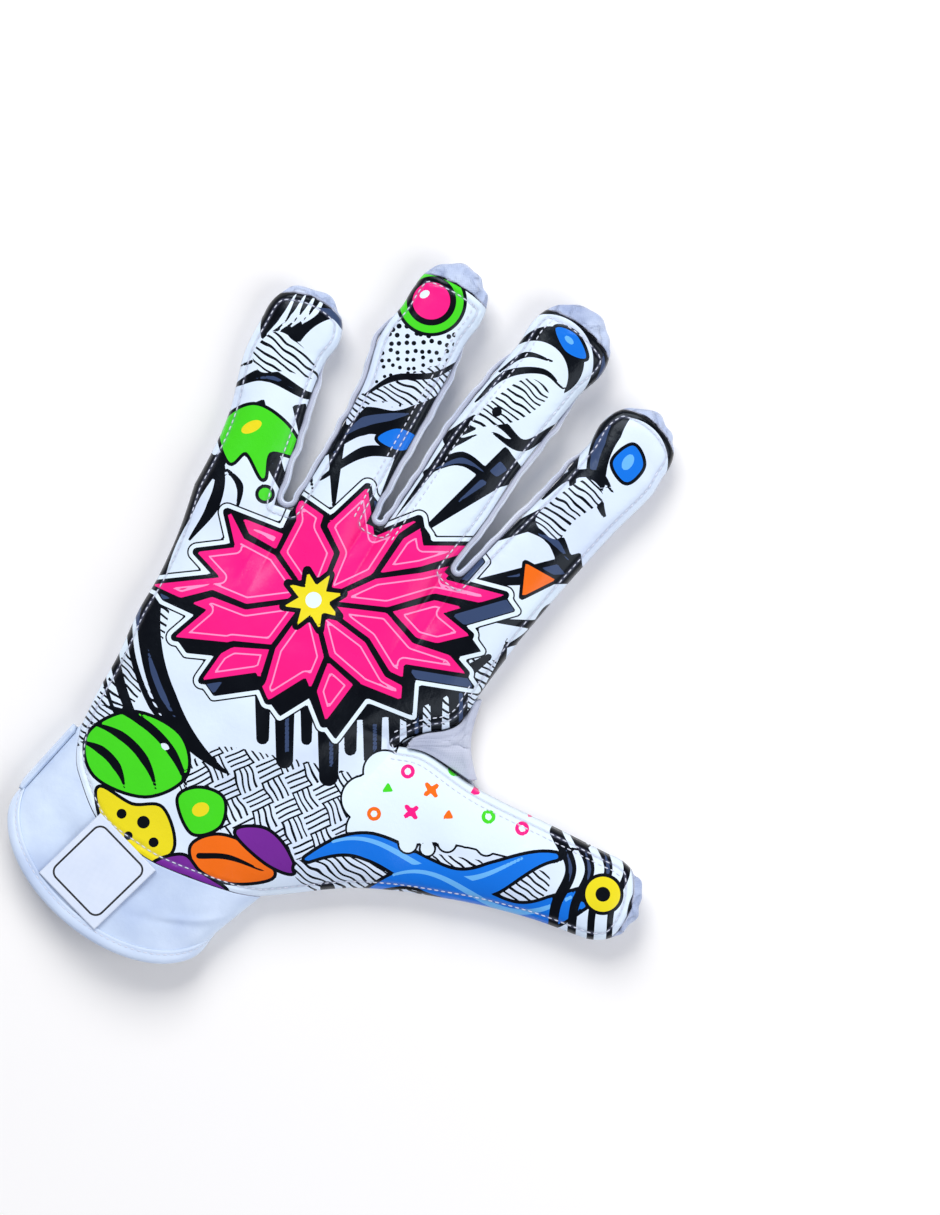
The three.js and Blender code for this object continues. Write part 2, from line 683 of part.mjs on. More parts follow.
// The side wall strip from one finger's tip down to the crotch and up the next finger.
function fourchette(left, right) {
  const sheet = new Sheet();
  const base = SEAM_HEIGHT + GAP * 0.5;
  const path = [];
  const run = (digit, side, stations) => {
    for (const at of stations) {
      const across = side === 0 ? -1 : 1;
      const top = digitTop(digit, at, across, 0, base);
      const bottom = lerp(BACK_RIM_HEIGHT, SEAM_HEIGHT - GAP * 0.5, closing(at));
      const place = (inset) => digitPlace(digit, at, across * (1 - inset / halfWidth(digit, at)));
      path.push({ place, top, bottom: bottom + liftAt(digit, at), bulge: bulgeAt(at) });
    }
  };
  const inner = STATIONS.filter((at) => at > 0 && at <= FOURCHETTE_END);
  const stations = (digit) => [FOURCHETTE_START / digit.shaft, ...inner];
  run(left, 1, stations(left).toReversed());
  const turnStart = path.length;
  run(right, 0, stations(right));
  const from = path[turnStart - 1];
  const to = path[turnStart];
  const turn = [0.25, 0.5, 0.75].map((share) => ({
    top: lerp(from.top, to.top, share),
    bottom: lerp(from.bottom, to.bottom, share),
    bulge: from.bulge,
    place: (inset) => {
      const a = from.place(inset);
      const b = to.place(inset);
      const centre = a.clone().lerp(b, 0.5);
      const reach = b.clone().sub(a).multiplyScalar(0.5);
      const down = new THREE.Vector2(reach.y, -reach.x);
      const angle = Math.PI * share;
      return centre.addScaledVector(reach, -Math.cos(angle)).addScaledVector(down, Math.sin(angle));
    },
  }));
  path.splice(turnStart, 0, ...turn);
  const rows = [0, 0.5, 1].map((share) => path.map(({ place, top, bottom, bulge }) => (
    sheet.point(place(bulge * (2 * share - 1) ** 2), lerp(bottom, top, share), 1)
  )));
  sheet.grid(rows, true);
  return sheet.wall(FOURCHETTE_WALL);
}

// The folded gusset between thumb and index finger: a top leaf from the two seams out to the fold, and the
// fold's wall.
function webGusset() {
  const sheet = new Sheet();
  const base = SEAM_HEIGHT + GAP * 0.5;
  const leafHigh = (station, share) => {
    const thumb = digitTop(THUMB, WEB_STATIONS[station], -1, 0, base);
    const palm = palmDome(1, BODY_ROWS[WEB_ROW + station], base);
    return lerp(thumb, palm, share) + WEB_BELLY * 4 * share * (1 - share) * (station / LAST_WEB) ** 2;
  };
  const point = (station, share, high, inset) => {
    const place = webPlace(station, share);
    const inward = radialEdge(WEB_POINT_AT).sub(place).normalize();
    return sheet.point(place.addScaledVector(inward, inset), high);
  };
  const rows = [];
  for (let station = 1; station <= LAST_WEB; station += 1) {
    const inset = station === LAST_WEB ? FOURCHETTE_BULGE : 0;
    rows.push(WEB_COLUMNS.map((share) => point(station, share, leafHigh(station, share), inset)));
  }
  for (const drop of [0.5, 1]) {
    const inset = FOURCHETTE_BULGE * (2 * drop - 1) ** 2;
    rows.push(WEB_COLUMNS.map((share) => {
      const high = lerp(leafHigh(LAST_WEB, share), BACK_RIM_HEIGHT, drop);
      return point(LAST_WEB, share, high, inset);
    }));
  }
  sheet.grid(rows, false);
  return sheet.wall(WEB_WALL);
}

// The cuff
const CUFF_LIFT = STRAP_THICKNESS + GAP;
const CUFF_HEEL_HIGH = PALM_HEIGHT * PALM_CROWN[0].high;

// A point of the cuff's outside: t from -1 to 1 across, at from 0 at the heel seam to 1 at the mouth.
function cuffPoint(t, at, onTop) {
  const across = (t + 1) * 0.5;
  const start = heelPlace(across, onTop ? 1 : 0);
  start.y -= GAP;
  const tongue = (onTop ? TONGUE_LENGTH : BACK_TONGUE_LENGTH) * Math.sqrt(Math.max(1 - t * t, 0));
  const end = new THREE.Vector2(MOUTH_OFFSET + MOUTH_WIDTH * 0.5 * t, -CUFF_SIDE_LENGTH - tongue);
  const place = start.lerp(end, at);
  const high = lerp(CUFF_HEEL_HIGH, CUFF_HEIGHT, at);
  if (onTop) {
    const rise = (high - SEAM_HEIGHT) * crown(t, 0, PALM_ROUNDNESS);
    return new THREE.Vector3(place.x, place.y, SEAM_HEIGHT + rise);
  }
  const inner = 1 - Math.min(((1 - Math.abs(t)) * MOUTH_WIDTH * 0.5) / RIM_ROLL, 1);
  const roll = 1 - Math.sqrt(1 - inner * inner);
  return new THREE.Vector3(place.x, place.y, lerp(CUFF_LIFT, SEAM_HEIGHT, roll));
}

// The closed ring of section values round the cuff: over the top from left to right and back underneath.
function cuffRing() {
  const top = rounded(CUFF_CELLS).map((t) => ({ t, onTop: true }));
  const under = rounded(CUFF_UNDER_CELLS).toReversed().slice(1, -1).map((t) => ({ t, onTop: false }));
  return [...top, ...under, top[0]];
}

function cuffBand() {
  const sheet = new Sheet();
  const rows = CUFF_ROWS.map((at) => cuffRing().map(({ t, onTop }) => {
    const p = cuffPoint(t, at, onTop);
    return sheet.point(new THREE.Vector2(p.x, p.y), p.z);
  }));
  sheet.grid(rows, true);
  return sheet.wall(CUFF_WALL);
}

// The binding goes on from the band's edge, at right angles to that edge along the band's surface.
function cuffBinding() {
  const sheet = new Sheet();
  const ring = cuffRing().slice(0, -1);
  const edge = ring.map(({ t, onTop }) => cuffPoint(t, 1, onTop));
  const outward = edge.map((point, i) => {
    const before = edge[(i + edge.length - 1) % edge.length];
    const after = edge[(i + 1) % edge.length];
    const edgeWay = after.clone().sub(before).normalize();
    const beyond = new THREE.Vector3(0, -1, 0);
    return beyond.addScaledVector(edgeWay, -beyond.dot(edgeWay)).normalize();
  });
  const rows = [0, 0.5, 1].map((share) => {
    const reach = BINDING_GAP + BINDING_WIDTH * share;
    const row = edge.map((point, i) => {
      const p = point.clone().addScaledVector(outward[i], reach);
      return sheet.point(new THREE.Vector2(p.x, p.y), p.z);
    });
    return [...row, row[0]];
  });
  sheet.grid(rows, true);
  return sheet.wall(BINDING_THICKNESS, (BINDING_THICKNESS - CUFF_WALL) * 0.5);
}

// The strap that lies under the cuff and turns up round its little-finger side.
function wristStrap() {
  const sheet = new Sheet();
  const under = rounded(CUFF_CELLS).filter((t) => t > -1 && t < STRAP_END).map((t) => ({ t, onTop: false }));
  const side = STRAP_SIDE.map((share) => ({ t: -Math.cos(share * Math.PI), onTop: true }));
  const ring = [...side, ...under, { t: STRAP_END, onTop: false }];
  const rows = STRAP_ROWS.map((at) => ring.map(({ t, onTop }) => {
    const p = cuffPoint(t, at, onTop);
    return sheet.point(new THREE.Vector2(p.x, p.y), p.z);
  }));
  sheet.grid(rows, false);
  return sheet.wall(STRAP_THICKNESS, GAP + STRAP_THICKNESS);
}

// The height of the cuff's top over a place in the plan.
function cuffTopHigh(place) {
  const t = (place.x - MOUTH_OFFSET) / (MOUTH_WIDTH * 0.5);
  const start = cuffPoint(t, 0, true).y;
  const end = cuffPoint(t, 1, true).y;
  return cuffPoint(t, (place.y - start) / (end - start), true).z;
}

// The sewn patch on the band, up to the heel seam.
function labelPatch() {
  const sheet = new Sheet();
  const middle = cuffPoint(LABEL_ACROSS, LABEL_ALONG, true);
  const rows = evenly(4).map((b) => evenly(4).map((a) => {
    const place = new THREE.Vector2(a * LABEL_WIDTH * 0.5, b * LABEL_LENGTH * 0.5);
    place.rotateAround(new THREE.Vector2(), degToRad(LABEL_TURN)).add(middle);
    return sheet.point(place, cuffTopHigh(place));
  }));
  sheet.grid(rows, false);
  return sheet.wall(LABEL_THICKNESS, GAP + LABEL_THICKNESS);
}

const PRINT = new THREE.MeshStandardMaterial({ color: 0xe9edf7, roughness: 0.3, metalness: 0 });
const FABRIC = new THREE.MeshStandardMaterial({ color: 0xd9e0f2, roughness: 0.7, metalness: 0 });
const STRIP = new THREE.MeshStandardMaterial({ color: 0xc4cfe8, roughness: 0.55, metalness: 0 });
const MESH = new THREE.MeshStandardMaterial({ color: 0xbfc6d6, roughness: 0.6, metalness: 0 });
const BAND = new THREE.MeshStandardMaterial({ color: 0xe6e9f2, roughness: 0.45, metalness: 0 });
const PATCH = new THREE.MeshStandardMaterial({ color: 0xf2f2f2, roughness: 0.6, metalness: 0 });

// The group's origin is on the ground below the middle of the palm.
const glove = new THREE.Group();
glove.position.y = -PALM_LENGTH * 0.5;
function add(name, geometry, material) {
  const mesh = new THREE.Mesh(geometry, material.clone());
  mesh.name = name;
  glove.add(mesh);
}
add('palm_panel', palmPanel(), PRINT);
add('back_panel', backPanel(), FABRIC);
for (let k = 0; k + 1 < FINGERS.length; k += 1) {
  add(`fourchette_${FINGERS[k].name}_${FINGERS[k + 1].name}`, fourchette(FINGERS[k], FINGERS[k + 1]), STRIP);
}
add('web_gusset', webGusset(), MESH);
add('cuff_band', cuffBand(), BAND);
add('cuff_binding', cuffBinding(), BAND);
add('label_patch', labelPatch(), PATCH);
add('wrist_strap', wristStrap(), BAND);

export default glove;
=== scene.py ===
# %% [markdown]
# # A receiver glove for the right hand
# The glove lies on its back with the palm up. It is sewn from a printed, tacky palm, a plain knit back, narrow side
# strips between the fingers, a mesh gusset beside the thumb, and a smooth cuff with a bound edge. Each of these is
# one piece here too. Every shape is a formula in millimetres, from the same sizes as the solid model's, so a piece
# lies where its solid lies. The first cell loads the solids and moves their places into their points.

import math

import bpy
import numpy as np
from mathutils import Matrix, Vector


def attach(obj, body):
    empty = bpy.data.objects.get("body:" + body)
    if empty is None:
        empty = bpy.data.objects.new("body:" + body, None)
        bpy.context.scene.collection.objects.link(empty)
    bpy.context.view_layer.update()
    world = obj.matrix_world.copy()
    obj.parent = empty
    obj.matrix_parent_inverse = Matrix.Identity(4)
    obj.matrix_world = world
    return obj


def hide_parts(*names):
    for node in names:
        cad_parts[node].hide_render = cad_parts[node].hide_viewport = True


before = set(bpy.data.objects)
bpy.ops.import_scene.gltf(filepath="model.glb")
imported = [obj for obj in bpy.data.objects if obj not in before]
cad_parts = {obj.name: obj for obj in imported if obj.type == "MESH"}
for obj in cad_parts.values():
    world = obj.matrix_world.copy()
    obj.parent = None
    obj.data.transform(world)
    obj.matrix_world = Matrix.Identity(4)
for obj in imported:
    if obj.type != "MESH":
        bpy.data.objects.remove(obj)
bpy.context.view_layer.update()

# %% [markdown]
# ## Sizes of the hand
# These are the driving sizes of the glove, in millimetres: +Y from the wrist to the fingers, +X to the thumb, +Z out
# of the palm. Edges and sections are short tables with named columns, and hold shares of the sizes. Reading a table
# by a smooth curve gives a soft outline from a few rows, where straight pieces would show corners.

# %% Palm and digit sizes
MM = 0.001
PALM_WIDTH, PALM_LENGTH, PALM_HEIGHT, HEEL_DROP = 104.0, 104.0, 17.0, 17.0
FINGER_HEIGHT, THUMB_HEIGHT = 12.5, 13.5
WALL, GAP, SEAM_HEIGHT, RIM_ROLL, BACK_RIM_HEIGHT = 1.2, 0.3, 4.5, 8.0, 2.2
STRIP_WALL, STRIP_BULGE, STRIP_START = 1.1, 0.6, 3.6
CROTCH_GAP, TIP_GAP, FOLD_FADE_HEIGHT = 1.2, 0.6, 5.0
SIDE_EDGE, WEB_EDGE, ROUNDNESS, PALM_ROUNDNESS = 0.62, 0.55, 2.3, 2.6
CLOSING_START, CLOSING_END, STRIP_END = 0.55, 0.98, 0.88
WEB_POINT_AT, WEB_END_AT, THUMB_WEB_END = 0.55, 0.84, 0.47
ORIGIN_Y = PALM_LENGTH * 0.5


def table(columns, *rows):
    """A short table as one array for each named column."""
    return dict(zip(columns.split(), np.array(rows, float).T))


ULNAR_EDGE = table("at across along", (0, -0.346, 0.004), (0.12, -0.367, 0.085), (0.29, -0.392, 0.216),
                   (0.48, -0.43, 0.355), (0.63, -0.45, 0.469), (0.82, -0.489, 0.606), (1, -0.54, 0.736))
THUMB_ROOT = table("at across along", (0, 0.368, -0.049), (0.55, 0.387, 0.532))
RADIAL_EDGE = table("at across along", (0.55, 0.387, 0.532), (0.63, 0.423, 0.609), (0.7, 0.471, 0.668),
                    (0.76, 0.487, 0.721), (0.84, 0.476, 0.808), (1, 0.465, 0.99))
CROTCHES = table("across along", (-0.298, 0.846), (-0.064, 0.976), (0.198, 1.005))
HEEL_SEAM = table("at drop", (0, 0), (0.06, 0.416), (0.12, 0.644), (0.31, 1), (0.5, 0.92), (0.62, 0.79),
                  (0.9, 0.27), (1, 0))
PALM_CROWN = table("at high", (0, 0.85), (0.4, 1), (0.8, 0.94), (1, 0.85))
DIGITS = {
    "pinky": dict(length=65.9, width=24.5, lean=-15.8, lift=2.0, wrap=2.5),
    "ring": dict(length=85.8, width=25.0, lean=-10.7, lift=3.0, wrap=6.5),
    "middle": dict(length=89.6, width=27.3, lean=-1.5, lift=2.5, wrap=5.5),
    "index": dict(length=77.7, width=25.7, lean=1.3, lift=1.5, wrap=2.5),
    "thumb": dict(length=96.5, width=28.0, lean=67.0, lift=2.5, wrap=2.5),
}
FORMS = {
    "pinky": table("at aside wide high", (0, 0, 1, 1.08), (0.4, -0.03, 0.98, 1), (0.75, -0.14, 1.02, 0.95),
                   (1, -0.13, 0.98, 0.88)),
    "ring": table("at aside wide high", (0, 0, 1, 1.1), (0.3, 0.01, 0.96, 1.02), (0.55, 0, 0.99, 1),
                  (0.76, -0.06, 1.08, 0.96), (1, -0.01, 0.9, 0.88)),
    "middle": table("at aside wide high", (0, 0, 0.96, 1.12), (0.27, -0.03, 1.01, 1.04), (0.47, -0.085, 1.02, 1),
                    (0.8, -0.085, 0.99, 0.96), (1, -0.07, 0.95, 0.88)),
    "index": table("at aside wide high", (0, 0, 1.05, 1.1), (0.3, 0.01, 1.01, 1.02), (0.65, 0.045, 0.965, 1),
                   (0.9, 0.07, 1, 0.94), (1, 0.05, 0.95, 0.88)),
    "thumb": table("at aside wide high", (0, 0, 1.93, 1.15), (0.22, -0.2, 1.58, 1.1), (0.5, -0.18, 1.2, 1),
                   (0.78, -0.14, 1.01, 0.95), (1, -0.07, 0.93, 0.85)),
}
print("palm:", PALM_WIDTH, "by", PALM_LENGTH, "mm, and its longest finger", DIGITS["middle"]["length"], "mm")

# %% [markdown]
# ## The formulas of the hand
# A surface is a function of two parameters on a grid. The palm is a patch between its four edges, and a digit is a
# straight strip with a round cap, whose square grid is bent to a half disc. A height is a rounded section over the
# outline. All of them take whole arrays, so a fine grid costs no more code than a coarse one.

# %% Curves and sections


def read(rows, column, at):
    """A smooth curve through a table's rows: cubic pieces whose slope at a row is that between its two neighbours."""
    t, v = rows["at"], rows[column]
    last = len(t) - 1
    k = np.arange(last + 1)
    above, below = np.minimum(k + 1, last), np.maximum(k - 1, 0)
    slope = (v[above] - v[below]) / (t[above] - t[below])
    i = np.clip(np.searchsorted(t, at, side="left") - 1, 0, last - 1)
    span = t[i + 1] - t[i]
    s = (at - t[i]) / span
    return ((2 * s**3 - 3 * s**2 + 1) * v[i] + (s**3 - 2 * s**2 + s) * span * slope[i]
            + (3 * s**2 - 2 * s**3) * v[i + 1] + (s**3 - s**2) * span * slope[i + 1])


def smoothstep(x, low, high):
    """0 below low, 1 above high, and 3s² - 2s³ of the share s between them."""
    s = np.clip((np.asarray(x, float) - low) / (high - low), 0, 1)
    return s * s * (3 - 2 * s)


def lerp(a, b, share):
    """The value that is the given share of the way from a to b."""
    return a + (b - a) * share


def unit(way):
    """Vectors divided by their own length."""
    return way / np.maximum(np.linalg.norm(way, axis=-1, keepdims=True), 1e-9)


def with_height(place, high):
    """Plan places and heights as points."""
    return np.concatenate([place, np.broadcast_to(high, place.shape[:-1])[..., None]], -1)


def crown(t, edge, power):
    """A rounded section's height share: 1 in the middle and "edge" at the sides, on a superellipse of that power."""
    t = np.minimum(np.abs(t), 1)
    return (1 - (1 - np.power(edge, power)) * np.power(t, power)) ** (1 / power)


def palm_edge(rows, at):
    """A place on one of the palm's edges, from its table of shares."""
    return np.stack([read(rows, "across", at) * PALM_WIDTH, read(rows, "along", at) * PALM_LENGTH], -1)


def ulnar_edge(at):
    """The palm's edge on the little finger's side."""
    return palm_edge(ULNAR_EDGE, at)


def radial_edge(at):
    """The palm's thumb edge: the straight root of the thumb, then the curve along the web to the index finger."""
    at = np.asarray(at, float)[..., None]
    root = palm_edge(THUMB_ROOT, np.minimum(at[..., 0], WEB_POINT_AT))
    return np.where(at <= WEB_POINT_AT, root, palm_edge(RADIAL_EDGE, np.maximum(at[..., 0], WEB_POINT_AT)))


print("palm's corners at the wrist:", ulnar_edge(0.0), radial_edge(0.0))

# %% [markdown]
# ## Digits
# A finger's root is a line between two crotches, which isn't square to the finger. Near the root its grid is blended
# from that line into the straight strip, so the palm and the fingers share their points and the print runs on
# without a seam, as on the real glove, where the palm and the finger fronts are cut from one piece.

# %% Digits


class Digit:
    """A finger or the thumb, from its root line between the points "left" and "right", seen with the tip away."""

    def __init__(self, name, sides, left, right, high=FINGER_HEIGHT, blunt=1.0, fade=0.35):
        size = DIGITS[name]
        lean = math.radians(size["lean"])
        self.name, self.form, self.sides, self.high, self.fade = name, FORMS[name], sides, high, fade
        self.left, self.right = np.array(left, float), np.array(right, float)
        self.width, self.lift = size["width"], size["lift"]
        self.cap = self.width * 0.5 * blunt
        self.shaft = size["length"] - self.cap
        self.wrap_at = 1 - size["wrap"] / self.cap
        self.middle = (self.left + self.right) * 0.5
        self.ahead = np.array([math.sin(lean), math.cos(lean)])
        self.rightward = np.array([math.cos(lean), -math.sin(lean)])

    def half(self, at):
        """Half the flat width."""
        return self.width * 0.5 * read(self.form, "wide", at)

    def place(self, at, across, cap=0.0):
        """The plan place: "at" along the straight part, "across" from -1 to 1, and "cap" into the round tip."""
        at, across, cap = np.broadcast_arrays(*(np.asarray(v, float) for v in (at, across, cap)))
        forward = self.shaft * at + self.cap * cap * np.sqrt(1 - across**2 * 0.5)
        sideways = self.width * read(self.form, "aside", at) + self.half(at) * across * np.sqrt(1 - cap**2 * 0.5)
        place = self.middle + forward[..., None] * self.ahead + sideways[..., None] * self.rightward
        plain = self.middle + (self.half(0.0) * across)[..., None] * self.rightward
        root = lerp(self.left, self.right, (across[..., None] + 1) * 0.5)
        blend = np.clip(1 - at / self.fade, 0, 1)[..., None] ** 2
        return place + (root - plain) * blend

    def closing(self, at):
        """How far a side strip has narrowed: 0 on the lower half of the finger and 1 at the tip."""
        return smoothstep(at, CLOSING_START, CLOSING_END)

    def edge(self, side, at):
        """The height share of the section at a side: raised where a side strip or the web joins it."""
        if self.sides[side] == "strip":
            return SIDE_EDGE * (1 - self.closing(at))
        if self.sides[side] == "web":
            return WEB_EDGE * (1 - smoothstep(at, 0, THUMB_WEB_END))
        return np.zeros_like(at)

    def bulge(self, at):
        """How far the side strip stands out of the outline."""
        return STRIP_BULGE * (1 - self.closing(at))

    def inset(self, side, at):
        """How far a panel's edge lies inside the outline, to leave room for the side strip."""
        if self.sides[side] != "strip":
            return np.zeros_like(at)
        return (self.bulge(at) + STRIP_WALL + GAP) * (1 - smoothstep(at, STRIP_END, 1))

    def panel_across(self, at, c):
        """The across value of a panel's point, c from -1 to 1 between the panel's own edges."""
        at = np.asarray(at, float)
        left = -1 + self.inset(0, at) / self.half(at)
        right = 1 - self.inset(1, at) / self.half(at)
        return lerp(left, right, (c + 1) * 0.5)

    def lifted(self, at, cap=0.0):
        """How far the digit's underside has left the ground: the square of the share of its length."""
        share = (at * self.shaft + cap * self.cap) / (self.shaft + self.cap)
        return self.lift * share**2

    def top(self, at, c, cap, base):
        """The height of the front: a rounded section over the seam height "base", plus the lift."""
        at, c, cap = np.broadcast_arrays(*(np.asarray(v, float) for v in (at, c, cap)))
        edge = np.where(cap > 0, 0, np.where(c < 0, self.edge(0, at), self.edge(1, at)))
        reach = np.sqrt(np.maximum(c**2 + cap**2 - c**2 * cap**2, 0))
        high = self.high * read(self.form, "high", at)
        return base + (high - base) * crown(reach, edge, ROUNDNESS) + self.lifted(at, cap)


def crotch_side(k, side):
    """A finger's root corner beside crotch number k, on its left (-1) or right (1)."""
    return (CROTCHES["across"][k] * PALM_WIDTH + side * CROTCH_GAP * 0.5, CROTCHES["along"][k] * PALM_LENGTH)


FINGERS = [
    Digit("pinky", ("seam", "strip"), ulnar_edge(1.0), crotch_side(0, -1)),
    Digit("ring", ("strip", "strip"), crotch_side(0, 1), crotch_side(1, -1)),
    Digit("middle", ("strip", "strip"), crotch_side(1, 1), crotch_side(2, -1)),
    Digit("index", ("strip", "seam"), crotch_side(2, 1), radial_edge(1.0)),
]
THUMB = Digit("thumb", ("web", "seam"), radial_edge(WEB_POINT_AT), radial_edge(0.0), THUMB_HEIGHT, 0.95, 0.5)
print("digits:", [(d.name, round(d.shaft + d.cap, 1)) for d in [*FINGERS, THUMB]])

# %% [markdown]
# ## The palm's patch
# The palm's plan is a Coons patch: the sum of the two blends between opposite edges, less the blend of the corners.
# Its columns carry on into the fingers and its lowest rows into the thumb. Broad dents from the way the empty glove
# has settled are added to the height, and fade out at the seam, where the two panels meet.

# %% The palm's patch
FOLDS = table("across along turn long wide high", (0.26, 0.3, 62, 0.3, 0.075, -1.3),
              (-0.05, 0.72, 8, 0.36, 0.08, -0.9), (-0.36, 0.17, 20, 0.1, 0.05, -1.2),
              (-0.2, 0.45, -35, 0.26, 0.09, 0.8), (0.62, 0.38, -60, 0.12, 0.07, -0.8))
COLUMNS, THUMB_COLUMNS, THUMB_CROWDING = 38, 72, 1.35
WEB_ROWS, TOP_ROWS, BRIDGE = 38, 19, 7


def ridges(place, rows, unit=WALL):
    """The sum of long bumps: each is high·exp(-a² - b²) of the distances along and across it, over its size."""
    total = np.zeros(place.shape[:-1])
    for across, along, turn, long, wide, high in zip(*rows.values()):
        x = place[..., 0] - across * PALM_WIDTH
        y = place[..., 1] - along * PALM_LENGTH
        c, s = math.cos(math.radians(turn)), math.sin(math.radians(turn))
        a = (x * c + y * s) / (long * PALM_WIDTH)
        b = (y * c - x * s) / (wide * PALM_WIDTH)
        total += high * unit * np.exp(-a * a - b * b)
    return total


def heel(across, drop):
    """The palm's lower edge, dropped to the rounded heel seam by the share "drop"."""
    place = lerp(ulnar_edge(0.0), radial_edge(0.0), np.asarray(across, float)[..., None])
    place[..., 1] -= HEEL_DROP * drop * read(HEEL_SEAM, "drop", across)
    return place


def palm_place(across, at, lower, upper):
    """The Coons patch between the ulnar and radial edges and the given lower and upper edges."""
    a, t = across[..., None], at[..., None]
    sides = lerp(ulnar_edge(at), radial_edge(at), a)
    corners = lerp(lerp(ulnar_edge(0.0), radial_edge(0.0), a), lerp(ulnar_edge(1.0), radial_edge(1.0), a), t)
    return lerp(lower, upper, t) + sides - corners


def palm_dome(across, at, base):
    """The palm's height: its crown over the seam, raised at the thumb edge where the thumb and the web join it."""
    high = PALM_HEIGHT * read(PALM_CROWN, "high", at)
    root = THUMB.top(0.0, np.clip(1 - 2 * at / WEB_POINT_AT, -1, 1), 0.0, base) - base
    web = (THUMB.top(0.0, -1.0, 0.0, base) - base) * (1 - smoothstep(at, WEB_POINT_AT, WEB_END_AT))
    rise = np.where(at <= WEB_POINT_AT, root, web) / (high - base)
    t = 2 * across - 1
    return base + (high - base) * crown(t, np.where(t < 0, 0, rise), PALM_ROUNDNESS)


# %% The palm's grid


def spread(cells):
    """Values from -1 to 1, a little closer together at the ends, where a section is steep."""
    even = np.linspace(-1, 1, cells + 1)
    return lerp(even, np.sin(even * math.pi * 0.5), 0.5)


def crowded(cells):
    """Values from -1 to 1, closer together at 1, where the thumb's front meets the heel."""
    return 1 - 2 * (1 - np.linspace(0, 1, cells + 1)) ** THUMB_CROWDING


def rows_up(thumb_across, web_rows, top_rows):
    """The palm's rows, from 0 at the wrist to 1 at the fingers: the thumb's columns, the web's rows and the rest."""
    return np.concatenate([WEB_POINT_AT * (1 - thumb_across[::-1]) * 0.5,
                           np.linspace(WEB_POINT_AT, WEB_END_AT, web_rows + 1)[1:],
                           np.linspace(WEB_END_AT, 1, top_rows + 1)[1:]])


def bridged(parts):
    """The fingers' values in one row, with evenly spaced ones on the short bridge between each two fingers."""
    row = [parts[0]]
    for left, right in zip(parts, parts[1:]):
        share = np.linspace(0, 1, BRIDGE + 1)[1:-1].reshape(-1, *[1] * (left.ndim - 1))
        row += [lerp(left[-1], right[0], share), right]
    return np.concatenate(row)


def palm_grid(rows, roots, drop, height):
    """A panel of the palm, from the heel dropped by a share to a row of places at the fingers' roots, with a height
    that is a function of the shares across and up and of the place."""
    shares = (roots[:, 0] - roots[0, 0]) / (roots[-1, 0] - roots[0, 0])
    at, across = np.meshgrid(rows, shares, indexing="ij")
    place = palm_place(across, at, heel(shares, drop), roots)
    return with_height(place, height(across, at, place))


ACROSS, THUMB_ACROSS = spread(COLUMNS), crowded(THUMB_COLUMNS)
BODY_ROWS = rows_up(THUMB_ACROSS, WEB_ROWS, TOP_ROWS)
ROOTS = bridged([f.place(0.0, f.panel_across(0.0, ACROSS)) for f in FINGERS])
print("palm grid:", len(BODY_ROWS), "rows by", len(ROOTS), "columns")

# %% [markdown]
# ## From grids to a mesh
# A piece is made of several grids that share their border points. Welding rounds the places to a hundredth of a
# millimetre and keeps each place once, which joins the grids whatever order they come in. A cell whose corners have
# fallen together is kept as a triangle. A wall is the same surface moved in along its normals and closed at its free
# edges: the Solidify modifier does that, and gives the inside a material of its own.

# %% Grids and welding
WELD = 0.01


def grid_cells(rows, columns, flip=False):
    """The corner numbers of a grid's square cells, anticlockwise seen from outside."""
    n = np.arange(rows * columns).reshape(rows, columns)
    cells = np.stack([n[:-1, :-1], n[:-1, 1:], n[1:, 1:], n[1:, :-1]], -1).reshape(-1, 4)
    return cells[:, ::-1] if flip else cells


def weld(grids, flips):
    """Joins grids of points into one list of points and cells, and gives each grid's numbers in that list."""
    counts = np.cumsum([0] + [g.shape[0] * g.shape[1] for g in grids])
    points = np.concatenate([g.reshape(-1, 3) for g in grids])
    cells = np.concatenate([grid_cells(*g.shape[:2], flip) + at for g, flip, at in zip(grids, flips, counts)])
    keys = np.round(points / WELD).astype(np.int64) @ np.array([1, 1 << 20, 1 << 40])
    _, first, back = np.unique(keys, return_index=True, return_inverse=True)
    back = back.reshape(-1)
    numbers = [back[a:b].reshape(g.shape[:2]) for g, a, b in zip(grids, counts, counts[1:])]
    return points[first], back[cells], numbers


# %% Pieces, walls and stored numbers


def to_metres(points):
    """Hand millimetres to the shared frame's metres, whose origin is below the middle of the palm."""
    return (points - [0, ORIGIN_Y, 0]) * MM


def stand(name, data):
    """Puts an object that holds some data into the scene."""
    thing = bpy.data.objects.new(name, data)
    bpy.context.scene.collection.objects.link(thing)
    return thing


def make_piece(name, points, cells, nodes=()):
    """A mesh object from points in millimetres and cells of four corners; a cell with a doubled corner is a
    triangle."""
    same = cells == np.roll(cells, -1, 1)
    cells = cells[same.sum(1) < 2]
    same = cells == np.roll(cells, -1, 1)
    corners = cells[~same]
    totals = 4 - same.sum(1)
    mesh = bpy.data.meshes.new(name)
    mesh.vertices.add(len(points))
    mesh.vertices.foreach_set("co", to_metres(points).astype(np.float32).ravel())
    mesh.loops.add(len(corners))
    mesh.loops.foreach_set("vertex_index", corners.astype(np.int32))
    mesh.polygons.add(len(cells))
    mesh.polygons.foreach_set("loop_start", np.concatenate([[0], np.cumsum(totals)[:-1]]).astype(np.int32))
    mesh.polygons.foreach_set("use_smooth", np.ones(len(cells), bool))
    mesh.update(calc_edges=True)
    mesh.validate()
    piece = stand(name, mesh)
    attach(piece, "root")
    if nodes:
        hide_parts(*nodes)
    print(name, len(mesh.vertices), "points")
    return piece


